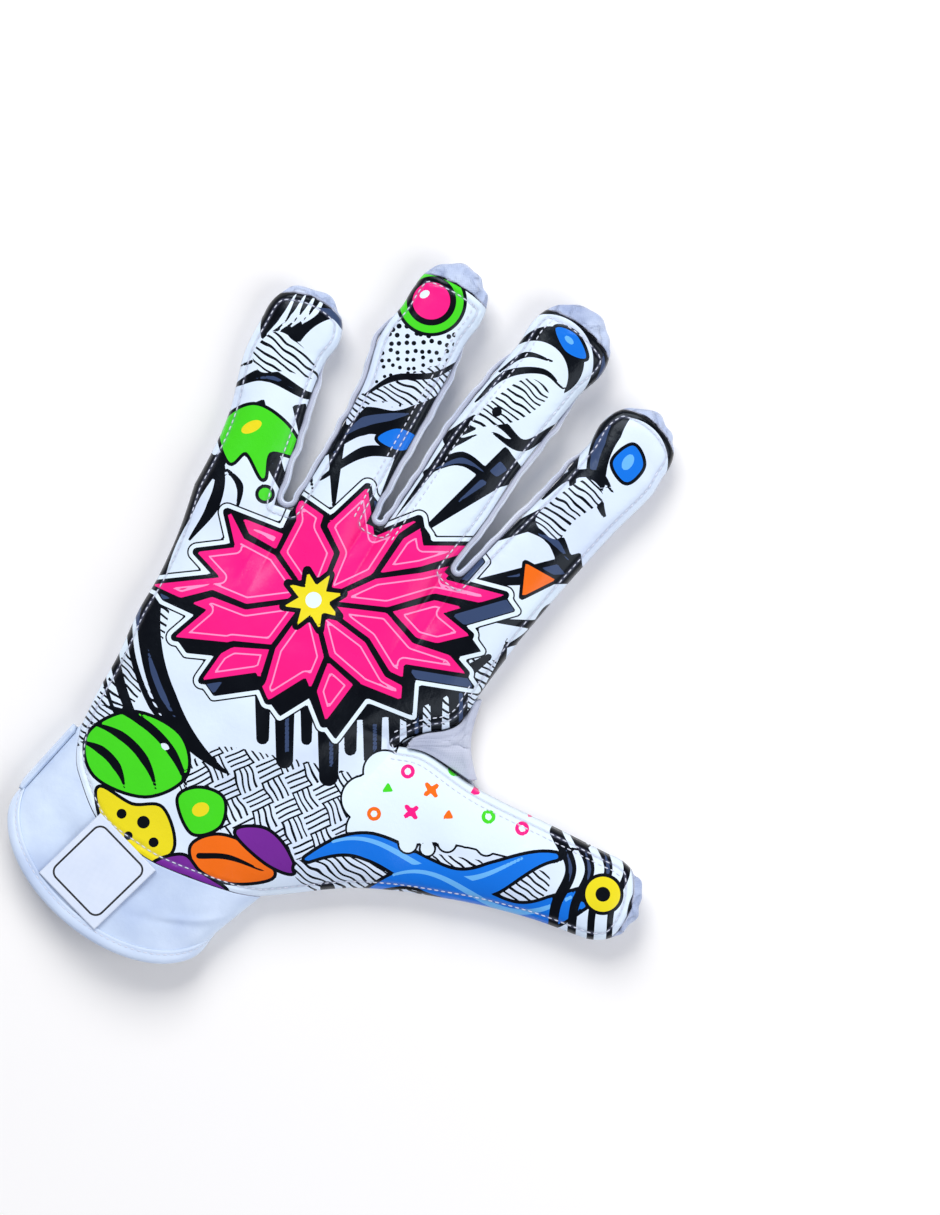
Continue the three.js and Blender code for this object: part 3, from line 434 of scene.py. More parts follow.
def add_wall(piece, thickness, offset=-1.0):
    """Gives the surface a wall of so many millimetres: inwards at offset -1, outwards at 1."""
    solid = piece.modifiers.new("wall", "SOLIDIFY")
    solid.thickness = thickness * MM
    solid.offset = offset
    solid.use_rim = True
    solid.material_offset = 1
    solid.material_offset_rim = 1
    return solid


def store(piece, name, values):
    """Keeps one number a point on the mesh, for a material to read."""
    attribute = piece.data.attributes.new(name, "FLOAT", "POINT")
    attribute.data.foreach_set("value", np.asarray(values, np.float32))


# %% Distances and waves


def in_parts(places, answer, size=4000):
    """A function's answers at many places, found for so many places at a time, which spares memory."""
    return np.concatenate([answer(places[start:start + size]) for start in range(0, len(places), size)])


def distance_to(points, line):
    """The plan distance from each point to the nearest place of a line of points."""
    a, step = line[:-1, :2], np.diff(line[:, :2], axis=0)
    length2 = np.maximum((step**2).sum(1), 1e-12)

    def nearest(part):
        p = part[:, None, :2] - a
        share = np.clip((p * step).sum(2) / length2, 0, 1)
        return np.sqrt(((p - share[..., None] * step) ** 2).sum(2).min(1))

    return in_parts(points, nearest)


def waves(place, seed, count, shortest, longest):
    """A soft random surface between about -1 and 1: the mean of plane waves whose directions and phases come from
    a fixed seed."""
    rng = np.random.default_rng(seed)
    angle, phase = rng.uniform(0, 2 * math.pi, (2, count))
    length = rng.uniform(shortest, longest, count)
    k = 2 * math.pi / length[:, None] * np.stack([np.cos(angle), np.sin(angle)], -1)
    return np.sin(place[..., :2] @ k.T + phase).sum(-1) / math.sqrt(count)


# %% [markdown]
# ## The printed palm
# The palm, the four finger fronts and the thumb front are one sheet of coated cloth, sewn all round. The sewing
# shows as a shallow groove two millimetres inside the edge, with the edge itself rolled up beside it, and as fine
# puckers across the groove. They could be painted as bump, but the gloss of the coating shows every form, so they
# are part of the surface. The sum of the dome, the folds, the wrinkles and the seam gives one height a point.

# %% The printed palm's surface
ROW_STEP, CAP_ROWS = 0.85, 14
STITCH_INSET, EDGE_GROOVE, EDGE_ROLL, PUCKER = 2.2, 0.32, 0.12, 0.1
GROOVE_WIDE, ROLL_WIDE, PUCKER_WIDE, ROLL_INSET = 0.55, 0.6, 1.6, 0.9
SEAM_BASE = SEAM_HEIGHT + GAP * 0.5
CREASES = table("across along turn long wide high", (-0.45, 0.37, -20, 0.05, 0.014, 0.5),
                (-0.42, 0.3, -32, 0.06, 0.014, -0.45), (-0.43, 0.25, -12, 0.05, 0.016, 0.5),
                (-0.38, 0.2, -25, 0.05, 0.014, -0.4), (0.3, 0.5, 35, 0.12, 0.022, -0.5),
                (0.24, 0.46, 70, 0.12, 0.025, 0.35), (0.36, 0.44, 110, 0.1, 0.022, -0.4),
                (-0.26, 0.8, 68, 0.1, 0.02, 0.4), (-0.07, 0.92, 80, 0.09, 0.02, -0.35),
                (0.19, 0.94, 100, 0.1, 0.02, -0.4), (0.05, 0.62, 28, 0.14, 0.03, -0.35),
                (-0.12, 0.55, -18, 0.16, 0.035, 0.3), (0.12, 0.12, -12, 0.13, 0.03, -0.3),
                (0.72, 0.4, 30, 0.1, 0.025, -0.45), (0.86, 0.5, 75, 0.08, 0.022, 0.35),
                (1.0, 0.46, 60, 0.09, 0.022, -0.4), (0.55, 0.2, 12, 0.12, 0.025, 0.35))


def front_height(place, high):
    """The front's height with its broad folds and sharp creases, which fade to nothing at the seam."""
    share = np.clip((high - SEAM_BASE) / FOLD_FADE_HEIGHT, 0, 1)
    soft = 0.16 * waves(place, seed=3, count=14, shortest=11, longest=30)
    return high + (ridges(place, FOLDS) + ridges(place, CREASES) * 0.9 + soft) * share


def stations(digit, step):
    """Even shares of a digit's straight part as a column, one about every so many millimetres."""
    return np.linspace(0, 1, int(digit.shaft / step) + 1)[:, None]


def front_strip(digit, acrosses):
    """The grid of a digit's front, from its root line to the edge of its print at the tip."""
    at = stations(digit, ROW_STEP)
    cap = np.linspace(0, digit.wrap_at - TIP_GAP / digit.cap, CAP_ROWS + 1)[1:, None]
    place = np.concatenate([digit.place(at, digit.panel_across(at, acrosses)), digit.place(1.0, acrosses, cap)])
    high = np.concatenate([digit.top(at, acrosses, 0.0, SEAM_BASE), digit.top(1.0, acrosses, cap, SEAM_BASE)])
    return with_height(place, front_height(place, high))


def body_height(across, at, place):
    """The palm's dome, which turns into the fingers' sections near their roots."""
    fingers = bridged([f.top(0.0, ACROSS, 0.0, SEAM_BASE) for f in FINGERS])
    return front_height(place, lerp(palm_dome(across, at, SEAM_BASE), fingers, smoothstep(at, 0.7, 1)))


def ring_of(numbers, parts):
    """A closed border as point numbers, from slices of the grids' number tables, in order round the piece."""
    border = np.concatenate([numbers[k][piece] for k, piece in parts])
    return border[np.insert(border[1:] != border[:-1], 0, True)]


# %% The front's grids and border
body = palm_grid(BODY_ROWS, ROOTS, 1.0, body_height)
strips = [front_strip(f, ACROSS) for f in FINGERS]
roots = [k * (len(ACROSS) + BRIDGE - 1) for k in range(4)]
for root, strip in zip(roots, strips):
    strip[0] = body[-1, root:root + len(ACROSS)]
thumb_strip = front_strip(THUMB, THUMB_ACROSS)
thumb_strip[0] = body[:THUMB_COLUMNS + 1, -1][::-1]
front_points, front_cells, front_numbers = weld([body, *strips, thumb_strip], [False] * 6)

# The border, from the ulnar wrist corner up the edge, round each finger, down to the web, round the thumb and back
# along the heel: grid 0 is the body, 1 to 4 are the fingers and 5 is the thumb.
border_parts = [(0, np.s_[:, 0])]
for k, root in enumerate(roots):
    end = root + len(ACROSS)
    border_parts += [(k + 1, np.s_[:, 0]), (k + 1, np.s_[-1, :]), (k + 1, np.s_[::-1, -1]),
                     (0, np.s_[-1, end - 1:end + BRIDGE])]
border_parts += [(0, np.s_[:THUMB_COLUMNS - 1:-1, -1]), (5, np.s_[:, 0]), (5, np.s_[-1, :]), (5, np.s_[::-1, -1]),
                 (0, np.s_[0, ::-1])]
front_border = ring_of(front_numbers, border_parts)
edge_distance = distance_to(front_points, front_points[np.append(front_border, front_border[0])])

# %% The front's seam
# The seam's relief: the rolled edge, the groove of the stitches and short puckers across it.
groove = -EDGE_GROOVE * np.exp(-((edge_distance - STITCH_INSET) / GROOVE_WIDE) ** 2)
roll = EDGE_ROLL * np.exp(-((edge_distance - ROLL_INSET) / ROLL_WIDE) ** 2)
pucker = PUCKER * waves(front_points, seed=8, count=10, shortest=3.2, longest=6.5)
pucker *= np.exp(-((edge_distance - STITCH_INSET) / PUCKER_WIDE) ** 2)
front_points[:, 2] += (groove + roll + pucker) * smoothstep(edge_distance, 0, 0.7)
palm = make_piece("printed_palm", front_points, front_cells, ["palm_panel"])
add_wall(palm, WALL)

# %% [markdown]
# ## The plain back
# The back lies flat on the table and rolls up to the seam within eight millimetres of its edge. At each tip it goes
# on over the top and meets the print's edge, which is the pale cap that shows in front of the print. The roll is a
# quarter circle of the distance to the edge, so one distance field gives the whole underside.

# %% The back's edge and its roll
BACK_SEAM = SEAM_HEIGHT - GAP * 0.5
WEB_SAG, WEB_BELLY, WEB_WALL, WEB_BACK_INSET = 3.2, 3.0, 1.0, 1.9


def web_share(u):
    """The thumb's station and the palm's row that the web joins, u being 0 at its inner point and 1 at its edge."""
    return THUMB_WEB_END * u, lerp(WEB_POINT_AT, WEB_END_AT, u)


def web_place(u, share):
    """A place of the web, between the thumb's upper side and the palm, with its outer edge curved inwards."""
    station, row = web_share(u)
    place = lerp(THUMB.place(station, -1.0), radial_edge(row), share[..., None])
    inward = unit(radial_edge(WEB_POINT_AT) - place)
    return place, inward, (WEB_SAG * 4 * share * (1 - share) * u**2)[..., None]


def web_back_place(u, share):
    """The web's place on the back fabric, a little inside the gusset."""
    place, inward, sag = web_place(u, share)
    extra = (WEB_BACK_INSET * u * np.minimum(1, 8 * share * (1 - share)))[..., None]
    return place + inward * (sag + extra)


def back_rim():
    """The back's edge as places with the fabric's height there, all the way round but for the straight wrist."""
    places, heights = [], []

    def add(place, high):
        places.append(place)
        heights.append(np.broadcast_to(high, len(place)).astype(float))

    def side(digit, which, at):
        c = -1.0 if which == 0 else 1.0
        high = lerp(BACK_RIM_HEIGHT, BACK_SEAM, digit.closing(at)) if digit.sides[which] == "strip" else BACK_SEAM
        add(digit.place(at, digit.panel_across(at, c)), high)

    def tip(digit):
        cap = np.linspace(0.05, 1, 12)
        add(digit.place(1.0, -1.0, cap), BACK_SEAM)
        add(digit.place(1.0, np.linspace(-0.9, 0.9, 12), 1.0), BACK_SEAM)
        add(digit.place(1.0, 1.0, cap[::-1]), BACK_SEAM)

    add(ulnar_edge(np.linspace(0, 1, 60)), BACK_SEAM)
    for finger in FINGERS:
        side(finger, 0, np.linspace(0, 1, 50))
        tip(finger)
        side(finger, 1, np.linspace(1, 0, 50))
    add(radial_edge(np.linspace(1, WEB_END_AT, 12)), BACK_SEAM)
    web = np.linspace(0.95, 0.05, 20)
    add(web_back_place(np.ones_like(web), web), BACK_RIM_HEIGHT)
    side(THUMB, 0, np.linspace(THUMB_WEB_END, 1, 40))
    tip(THUMB)
    side(THUMB, 1, np.linspace(1, 0, 60))
    return np.concatenate(places), np.concatenate(heights)


RIM, RIM_HEIGHTS = back_rim()
print("back's edge:", len(RIM), "places, from", RIM_HEIGHTS.min(), "to", RIM_HEIGHTS.max(), "mm high")


def back_height(place):
    """The underside's height: the nearest edge place's height times a quarter roll of the distance to the edge."""
    flat = place.reshape(-1, 2)
    high = RIM_HEIGHTS[in_parts(flat, lambda part: ((part[:, None] - RIM) ** 2).sum(2).argmin(1))]
    inner = 1 - np.minimum(distance_to(flat, RIM) / RIM_ROLL, 1)
    return (high * (1 - np.sqrt(1 - inner**2))).reshape(place.shape[:-1])


# %% The back's surface
BACK_COLUMNS, BACK_THUMB_COLUMNS, BACK_STEP, OVER_ROWS = 36, 48, 1.5, 12
ROUND_ROWS, BACK_TOP_ROWS, WEB_STEPS, WEB_CELLS = 5, 8, 16, 20
GATHER_WAVE, GATHER_NOISE, RUFFLE = 0.32, 0.55, 0.5
BACK_ACROSS, BACK_THUMB_ACROSS = spread(BACK_COLUMNS), crowded(BACK_THUMB_COLUMNS)


def gathers(digit, place):
    """Small folds that run over the tip from the print's edge, where the fabric is drawn together by the seam: a
    sine wave across the finger, broken up by soft noise."""
    turns = (place - digit.middle) @ digit.rightward * 1.6
    turns += 2.5 * waves(place, seed=31, count=6, shortest=6, longest=12)
    return GATHER_WAVE * np.sin(turns) + GATHER_NOISE * waves(place, seed=21, count=8, shortest=3, longest=7)


def ruffle(digit, place, cap):
    """Pushes the tip's places outwards by a soft wave: nothing at the print's edge and most at the outermost edge."""
    outward = unit(place - (digit.middle + digit.ahead * digit.shaft))
    push = RUFFLE * waves(place, seed=41, count=6, shortest=5, longest=11) * smoothstep(cap, digit.wrap_at, 1)
    return place + outward * push[..., None]


def back_strip(digit, acrosses):
    """A digit's underside, round its tip and back over the top as far as the print's edge."""
    at = stations(digit, BACK_STEP)
    shaft_place = digit.place(at, digit.panel_across(at, acrosses))
    shaft = with_height(shaft_place, back_height(shaft_place) + digit.lifted(at))

    ends, over = np.abs(acrosses) == 1, np.linspace(digit.wrap_at, 1, OVER_ROWS + 1)[1:]
    cap = np.concatenate([np.linspace(0, digit.wrap_at, ROUND_ROWS + 1)[1:], over])[:, None]
    place = digit.place(1.0, acrosses, cap)
    high = np.where(ends | (cap == 1), BACK_SEAM, back_height(place)) + digit.lifted(1.0, cap)

    back_over = np.linspace(1, digit.wrap_at, OVER_ROWS + 1)[1:, None]
    top_place = digit.place(1.0, acrosses, back_over)
    top_high = digit.top(1.0, acrosses, back_over, BACK_SEAM) + gathers(digit, top_place)
    top_high = np.where(ends, BACK_SEAM + digit.lifted(1.0, back_over), top_high)
    return np.concatenate([shaft, with_height(ruffle(digit, place, cap), high),
                           with_height(ruffle(digit, top_place, back_over), top_high)])


# %% The back's grids
back_roots = np.concatenate([f.place(0.0, f.panel_across(0.0, BACK_ACROSS)) for f in FINGERS])
back_rows = palm_grid(rows_up(BACK_THUMB_ACROSS, WEB_STEPS, BACK_TOP_ROWS), back_roots, 0.0,
                      lambda across, at, place: back_height(place))
back_strips = [back_strip(f, BACK_ACROSS) for f in FINGERS]
n = len(BACK_ACROSS)
for k, strip in enumerate(back_strips):
    strip[0] = back_rows[-1, k * n:(k + 1) * n]
back_thumb = back_strip(THUMB, BACK_THUMB_ACROSS)
back_thumb[0] = back_rows[:BACK_THUMB_COLUMNS + 1, -1][::-1]
u, share = np.meshgrid(np.linspace(0, 1, WEB_STEPS + 1), np.linspace(0, 1, WEB_CELLS + 1), indexing="ij")
place = web_back_place(u, share)
back_web = with_height(place, back_height(place))
back_web[0] = back_thumb[0, 0]
back_web[:, -1] = back_rows[BACK_THUMB_COLUMNS:BACK_THUMB_COLUMNS + WEB_STEPS + 1, -1]
thumb_at = stations(THUMB, BACK_STEP)[:, 0]
for axis in range(3):
    back_web[:, 0, axis] = np.interp(THUMB_WEB_END * u[:, 0], thumb_at, back_thumb[:len(thumb_at), 0, axis])
back_points, back_cells, _ = weld([back_rows, *back_strips, back_thumb, back_web], [True] * 6 + [False])
back = make_piece("plain_back", back_points, back_cells, ["back_panel"])
add_wall(back, WALL)
store(back, "tip", smoothstep(back_points[:, 2], BACK_SEAM * 0.6, BACK_SEAM))

# %% [markdown]
# ## Side strips and the web
# A narrow strip of elastic cloth is sewn between each two fingers: up the side of one, down round the crotch and up
# the next. It is a ribbon along that path, from the back's height to the front's, a little hollowed so that the
# panels' edges stand beside it. The web is a mesh gusset beside the thumb, folded at its outer edge.

# %% Side strips
STRIP_STEP, STRIP_ROWS, TURN_CELLS = 1.2, 9, 10
STRIP_TUCK, STRIP_RIPPLE, TUCK_LONG = 1.4, 0.2, 0.14


def strip_path(digit, side, at):
    """One side of a finger as a function from the inset to the places, with the strip's heights and bulge there."""
    across = -1.0 if side == 0 else 1.0
    top = digit.top(at, across, 0.0, SEAM_BASE)
    bottom = lerp(BACK_RIM_HEIGHT, BACK_SEAM, digit.closing(at)) + digit.lifted(at)
    bulge = digit.bulge(at)
    ripple = STRIP_RIPPLE * waves(digit.place(at, across), seed=51, count=6, shortest=5, longest=12)
    tuck = STRIP_TUCK * smoothstep(at, STRIP_END - TUCK_LONG, STRIP_END) + ripple

    def place(inset):
        return digit.place(at, across * (1 - (inset + tuck) / digit.half(at)))

    return place, top, bottom, bulge


def side_strip(left, right):
    """The ribbon's grid: down the left finger's side, a half circle round the crotch, and up the right finger's."""
    down_at, up_at = (np.linspace(STRIP_START / d.shaft, STRIP_END, int(d.shaft / STRIP_STEP)) for d in (left, right))
    place_a, top_a, bottom_a, bulge_a = strip_path(left, 1, down_at[::-1])
    place_b, top_b, bottom_b, bulge_b = strip_path(right, 0, up_at)
    turn = np.linspace(0, 1, TURN_CELLS + 1)[1:-1]
    angle = math.pi * turn[:, None]
    rows = []
    for share in np.linspace(0, 1, STRIP_ROWS):
        hollow = (2 * share - 1) ** 2
        a, b = place_a(bulge_a * hollow), place_b(bulge_b * hollow)
        reach = (b[0] - a[-1]) * 0.5
        down = np.array([reach[1], -reach[0]])
        bend = (a[-1] + b[0]) * 0.5 - reach * np.cos(angle) + down * np.sin(angle)
        high_a, high_b = lerp(bottom_a, top_a, share), lerp(bottom_b, top_b, share)
        high = np.concatenate([high_a, lerp(high_a[-1], high_b[0], turn), high_b])
        rows.append(with_height(np.concatenate([a, bend, b]), high))
    return np.array(rows)


# %% The three strips
side_strips = []
for k, (left, right) in enumerate(zip(FINGERS, FINGERS[1:])):
    points, cells, _ = weld([side_strip(left, right)], [True])
    node = f"fourchette_{left.name}_{right.name}"
    side_strips.append(make_piece(f"side_strip_{k + 1}", points, cells, [node]))
    add_wall(side_strips[-1], STRIP_WALL + 0.18)

# %% The web gusset
LEAF_ROWS, LEAF_COLUMNS, FOLD_ROWS = 36, 61, 8
WEB_CREASES = table("high start slant wide", (0.6, 0.22, 0.42, 0.035), (-0.5, 0.8, -0.4, 0.03))


def leaf_height(u, share):
    """The web's upper leaf: the straight line between its two seams' heights and a belly that grows outwards."""
    station, row = web_share(u)
    thumb = THUMB.top(station, -1.0, 0.0, SEAM_BASE)
    edge = palm_dome(np.ones_like(row), row, SEAM_BASE)
    folds = 0.3 * np.sin(share * 26) * (1 - u * 0.5)
    for high, start, slant, wide in zip(*WEB_CREASES.values()):
        folds += high * np.exp(-((share - start - slant * u) / wide) ** 2)
    folds *= np.sin(share * math.pi) * u
    return lerp(thumb, edge, share) + WEB_BELLY * 4 * share * (1 - share) * u**2 + folds


u, share = np.meshgrid(np.linspace(0.18, 1, LEAF_ROWS), np.linspace(0.06, 0.94, LEAF_COLUMNS), indexing="ij")
place, inward, sag = web_place(u, share)
leaf = with_height(place + inward * (sag + STRIP_BULGE * smoothstep(u, 0.9, 1)[..., None]), leaf_height(u, share))
drop, share = np.meshgrid(np.linspace(0, 1, FOLD_ROWS)[1:], share[0], indexing="ij")
place, inward, sag = web_place(np.ones_like(share), share)
inset = STRIP_BULGE * (2 * drop - 1)[..., None] ** 2
fold_height = lerp(leaf_height(np.ones_like(share), share), BACK_RIM_HEIGHT, drop)
fold = with_height(place + inward * (sag + inset), fold_height)
web_points, web_cells, _ = weld([np.concatenate([leaf, fold])], [False])
web = make_piece("web_gusset", web_points, web_cells, ["web_gusset"])
add_wall(web, WEB_WALL)

# %% [markdown]
# ## The cuff
# The cuff is a smooth band round the wrist whose upper lip is a rounded tongue. A closed ring of section values goes
# over the top and back below, and is drawn from the heel seam to the mouth. The binding goes on from its edge, the
# strap lies below it, and the patch lies on its upper side.

# %% Cuff sizes and surface
CUFF_WALL, CUFF_HEIGHT, MOUTH_HALF, MOUTH_OFFSET = 1.5, 14.5, 35.7, -1.2
CUFF_SIDE, TONGUE, BACK_TONGUE = 23.4, 21.2, 2.0
STRAP_WALL, STRAP_END_AT = 1.6, 0.4
CUFF_LIFT, HEEL_HEIGHT = STRAP_WALL + GAP, PALM_HEIGHT * 0.85
CUFF_CREASES = table("across along turn long wide high", (0.25, -0.23, 40, 0.1, 0.012, 0.4),
                     (0.2, -0.28, 30, 0.08, 0.012, -0.35), (0.31, -0.18, 50, 0.08, 0.013, 0.35),
                     (0.28, -0.33, 22, 0.09, 0.014, 0.3), (-0.33, -0.1, 24, 0.12, 0.018, -0.35),
                     (-0.39, -0.2, 66, 0.09, 0.016, 0.35), (-0.3, -0.3, -40, 0.1, 0.016, -0.3))


def cuff_point(t, at, on_top):
    """The cuff's outside: t from -1 to 1 across it, and at from 0 at the heel seam to 1 at the mouth."""
    t, at, on_top = np.broadcast_arrays(np.asarray(t, float), np.asarray(at, float), on_top)
    start = np.where(on_top[..., None], heel((t + 1) * 0.5, 1.0), heel((t + 1) * 0.5, 0.0)) - [0, GAP]
    tongue = np.where(on_top, TONGUE, BACK_TONGUE) * np.sqrt(np.maximum(1 - t * t, 0))
    end = np.stack([MOUTH_OFFSET + MOUTH_HALF * t, -CUFF_SIDE - tongue], -1)
    place = lerp(start, end, at[..., None])
    high = SEAM_HEIGHT + (lerp(HEEL_HEIGHT, CUFF_HEIGHT, at) - SEAM_HEIGHT) * crown(t, 0, PALM_ROUNDNESS)
    inner = 1 - np.minimum((1 - np.abs(t)) * MOUTH_HALF / RIM_ROLL, 1)
    low = lerp(CUFF_LIFT, SEAM_HEIGHT, 1 - np.sqrt(1 - inner**2))
    return with_height(place, np.where(on_top, high, low))


def cuff_ring(top_cells, under_cells):
    """The section values once round the cuff, the first one again at the end, and whether each is on top."""
    top = np.sin(np.linspace(-1, 1, top_cells + 1) * math.pi * 0.5)
    under = np.sin(np.linspace(1, -1, under_cells + 1) * math.pi * 0.5)[1:-1]
    t = np.concatenate([top, under, top[:1]])
    return t, np.repeat([True, False, True], [len(top), len(under), 1])


# %% The band
CUFF_T, CUFF_TOP = cuff_ring(96, 48)
CUFF_AT = np.linspace(0, 1, 61)[:, None]
band_grid = cuff_point(CUFF_T, CUFF_AT, CUFF_TOP)
slack = np.sin(CUFF_AT * math.pi) * (1 - CUFF_T**4)
crumple = 0.3 * waves(band_grid, seed=12, count=12, shortest=9, longest=26) + ridges(band_grid, CUFF_CREASES)
band_grid[..., 2] += slack * crumple * np.where(CUFF_TOP, 1, 0.3)
band_points, band_cells, _ = weld([band_grid], [True])
band = make_piece("cuff_band", band_points, band_cells, ["cuff_band"])
add_wall(band, CUFF_WALL)

# %% The binding
BINDING_PROFILE = table("reach out", (-1.1, 0.1), (-1.0, 0.34), (-0.6, 0.5), (-0.1, 0.5), (0.25, 0.36), (0.6, 0.5),
                        (1.5, 0.55), (2.4, 0.48), (3.0, 0.15), (3.3, -0.6), (3.1, -1.35), (2.4, -1.8), (1.2, -1.9),
                        (-0.5, -1.9), (-1.1, -1.65), (0.1, -1.56), (0.3, -0.7), (0.1, 0.06), (-1.1, 0.1))
edge = cuff_point(CUFF_T[:-1], 1.0, CUFF_TOP[:-1])
way = unit(np.roll(edge, -1, 0) - np.roll(edge, 1, 0))
outward = unit(np.array([0, -1.0, 0]) + way[:, 1:2] * way)
raised = unit(np.cross(outward, way))
raised *= np.sign(raised[len(raised) // 4, 2])
reach, out = (BINDING_PROFILE[name][:, None, None] for name in ("reach", "out"))
binding_grid = edge + outward * reach + raised * out
binding_grid = np.concatenate([binding_grid, binding_grid[:, :1]], 1)
binding_points, binding_cells, _ = weld([binding_grid], [True])
binding = make_piece("cuff_binding", binding_points, binding_cells, ["cuff_binding"])

# %% The strap
side_t = -np.cos(np.linspace(0.06, 0, 5) * math.pi)
under_t = np.sin(np.linspace(-1, math.asin(STRAP_END_AT) * 2 / math.pi, 40) * math.pi * 0.5)[1:]
strap_t = np.concatenate([side_t, under_t])
strap_top = np.repeat([True, False], [len(side_t), len(under_t)])
strap_at = np.linspace(0.08, 0.97, 30)[:, None]
strap_points, strap_cells, _ = weld([cuff_point(strap_t, strap_at, strap_top)], [False])
strap = make_piece("wrist_strap", strap_points, strap_cells, ["wrist_strap"])
add_wall(strap, STRAP_WALL, 1 + 2 * GAP / STRAP_WALL).material_offset_rim = 0


# %% The patch


def cuff_top_height(place):
    """The height of the band's upper side over a plan place."""
    t = (place[..., 0] - MOUTH_OFFSET) / MOUTH_HALF
    start, end = cuff_point(t, 0.0, True)[..., 1], cuff_point(t, 1.0, True)[..., 1]
    return cuff_point(t, (place[..., 1] - start) / (end - start), True)[..., 2]


LABEL_WIDTH, LABEL_LENGTH, LABEL_WALL, LABEL_TURN = 23.5, 25.5, 0.7, -6
LABEL_MIDDLE = cuff_point(-0.105, 0.44, True)[:2]
a, b = np.meshgrid(np.linspace(-0.5, 0.5, 49) * LABEL_WIDTH, np.linspace(-0.5, 0.5, 53) * LABEL_LENGTH)
c, s = math.cos(math.radians(LABEL_TURN)), math.sin(math.radians(LABEL_TURN))
place = np.stack([a * c - b * s, a * s + b * c], -1) + LABEL_MIDDLE
patch_points, patch_cells, (patch_numbers,) = weld([with_height(place, cuff_top_height(place))], [False])
patch = make_piece("label_patch", patch_points, patch_cells, ["label_patch"])
add_wall(patch, LABEL_WALL, 1 + 2 * GAP / LABEL_WALL)

# The line of its frame is kept on its points: the distance to a rectangle with round corners.
FRAME_HALF, FRAME_ROUND, FRAME_SHIFT = np.array([9.7, 10.4]), 2.6, np.array([0.0, 0.3])
flat = np.abs(np.stack([a, b], -1) - FRAME_SHIFT) - FRAME_HALF + FRAME_ROUND
frame_line = np.empty(len(patch_points))
frame_line[patch_numbers] = np.hypot(*np.maximum(flat, 0).T).T + np.minimum(flat.max(-1), 0) - FRAME_ROUND
store(patch, "frame_line", frame_line)

# %% [markdown]
# ## Flat shapes for the print
# The print is drawn with signed distances: a shape is a formula that is negative inside it and grows by one for each
# millimetre outside. The least of two such numbers joins two shapes, and the greatest of one and another's opposite
# cuts a hole. Stored on the palm's points and cut at zero in the shader, they give edges far sharper than the mesh.

# %% Distances to flat shapes
FAR, MARGIN = 9.0, 4.0


def nearby(p, points, reach=0.0):
    """Which places lie in the box round the given points, with a margin."""
    low, high = points.min(0) - reach - MARGIN, points.max(0) + reach + MARGIN
    return ((p >= low) & (p <= high)).all(1)


def to_segments(p, line, half):
    """The least distance from each place to a line's segments, less the half width, which may change on the way."""
    half = np.interp(np.linspace(0, 1, len(line)), np.linspace(0, 1, np.size(half)), np.atleast_1d(half))
    best = np.full(len(p), np.inf)
    for a, b, h0, h1 in zip(line[:-1], line[1:], half[:-1], half[1:]):
        step = b - a
        share = np.clip((p - a) @ step / max(step @ step, 1e-9), 0, 1)
        reach = p - a - share[:, None] * step
        best = np.minimum(best, np.hypot(reach[:, 0], reach[:, 1]) - lerp(h0, h1, share))
    return best


def stroke(p, line, half):
    """A brush stroke along a line of points, with one half width or several along the way."""
    line = np.array(line, float)
    near = nearby(p, line, np.max(half))
    out = np.full(len(p), FAR)
    out[near] = to_segments(p[near], line, half)
    return out


def polygon(p, corners):
    """A closed shape with straight sides: the distance to its sides, negative where an odd number of sides lies to
    the right."""
    corners = np.array(corners, float)
    near = nearby(p, corners)
    out = np.full(len(p), FAR)
    q = p[near]
    loop = np.concatenate([corners, corners[:1]])
    inside = np.zeros(len(q), bool)
    for a, b in zip(loop[:-1], loop[1:]):
        crosses = (a[1] > q[:, 1]) != (b[1] > q[:, 1])
        rise = b[1] - a[1] if b[1] != a[1] else 1e-9
        inside ^= crosses & (q[:, 0] < a[0] + (q[:, 1] - a[1]) * (b[0] - a[0]) / rise)
    away = to_segments(q, loop, 0.0)
    out[near] = np.where(inside, -away, away)
    return out


def disc(p, middle, radius, squash=1.0, turn=0.0):
    """A disc, or an ellipse whose second radius is "squash" times the first, turned by degrees."""
    c, s = math.cos(math.radians(turn)), math.sin(math.radians(turn))
    x, y = (p - middle).T
    a, b = x * c + y * s, (y * c - x * s) / squash
    return (np.hypot(a, b) - radius) * min(1, (1 + squash) * 0.5)


# %% Smooth lines, and shapes put together


def smooth(points, count=12):
    """A smooth line through a few points: cubic pieces with the slope of each point's two neighbours."""
    points = np.array(points, float)
    ends = np.concatenate([[2 * points[0] - points[1]], points, [2 * points[-1] - points[-2]]])
    t = np.linspace(0, 1, count, endpoint=False)[:, None]
    pieces = []
    for a, b, c, d in zip(ends, ends[1:], ends[2:], ends[3:]):
        cubic = 1.5 * (b - c) + (d - a) * 0.5
        pieces.append(b + t * ((c - a) * 0.5 + t * (a - 2.5 * b + 2 * c - 0.5 * d + t * cubic)))
    return np.concatenate([*pieces, points[-1:]])


def blob(p, points, count=8):
    """A closed shape with smooth sides through a few points: the smooth line through them and, so that it closes
    smoothly, two more at each end, of which its own round is kept."""
    points = np.array(points, float)
    line = smooth(np.concatenate([points[-2:], points, points[:2]]), count)
    return polygon(p, line[2 * count:-count - 1])


def arc(middle, radius, start, end, count=40):
    """The points of a circle's arc between two angles in degrees."""
    angle = np.radians(np.linspace(start, end, count))
    return np.array(middle) + radius * np.stack([np.cos(angle), np.sin(angle)], -1)


def join(*shapes):
    """All of the shapes together."""
    return np.minimum.reduce(shapes)


def cut(shape, *holes):
    """A shape with others cut out."""
    return np.maximum.reduce([shape, *[-h for h in holes]])


print("a disc of 5 mm, at its middle, rim and outside:", disc(np.array([[0, 0], [5, 0], [8, 0]]), (0, 0), 5))

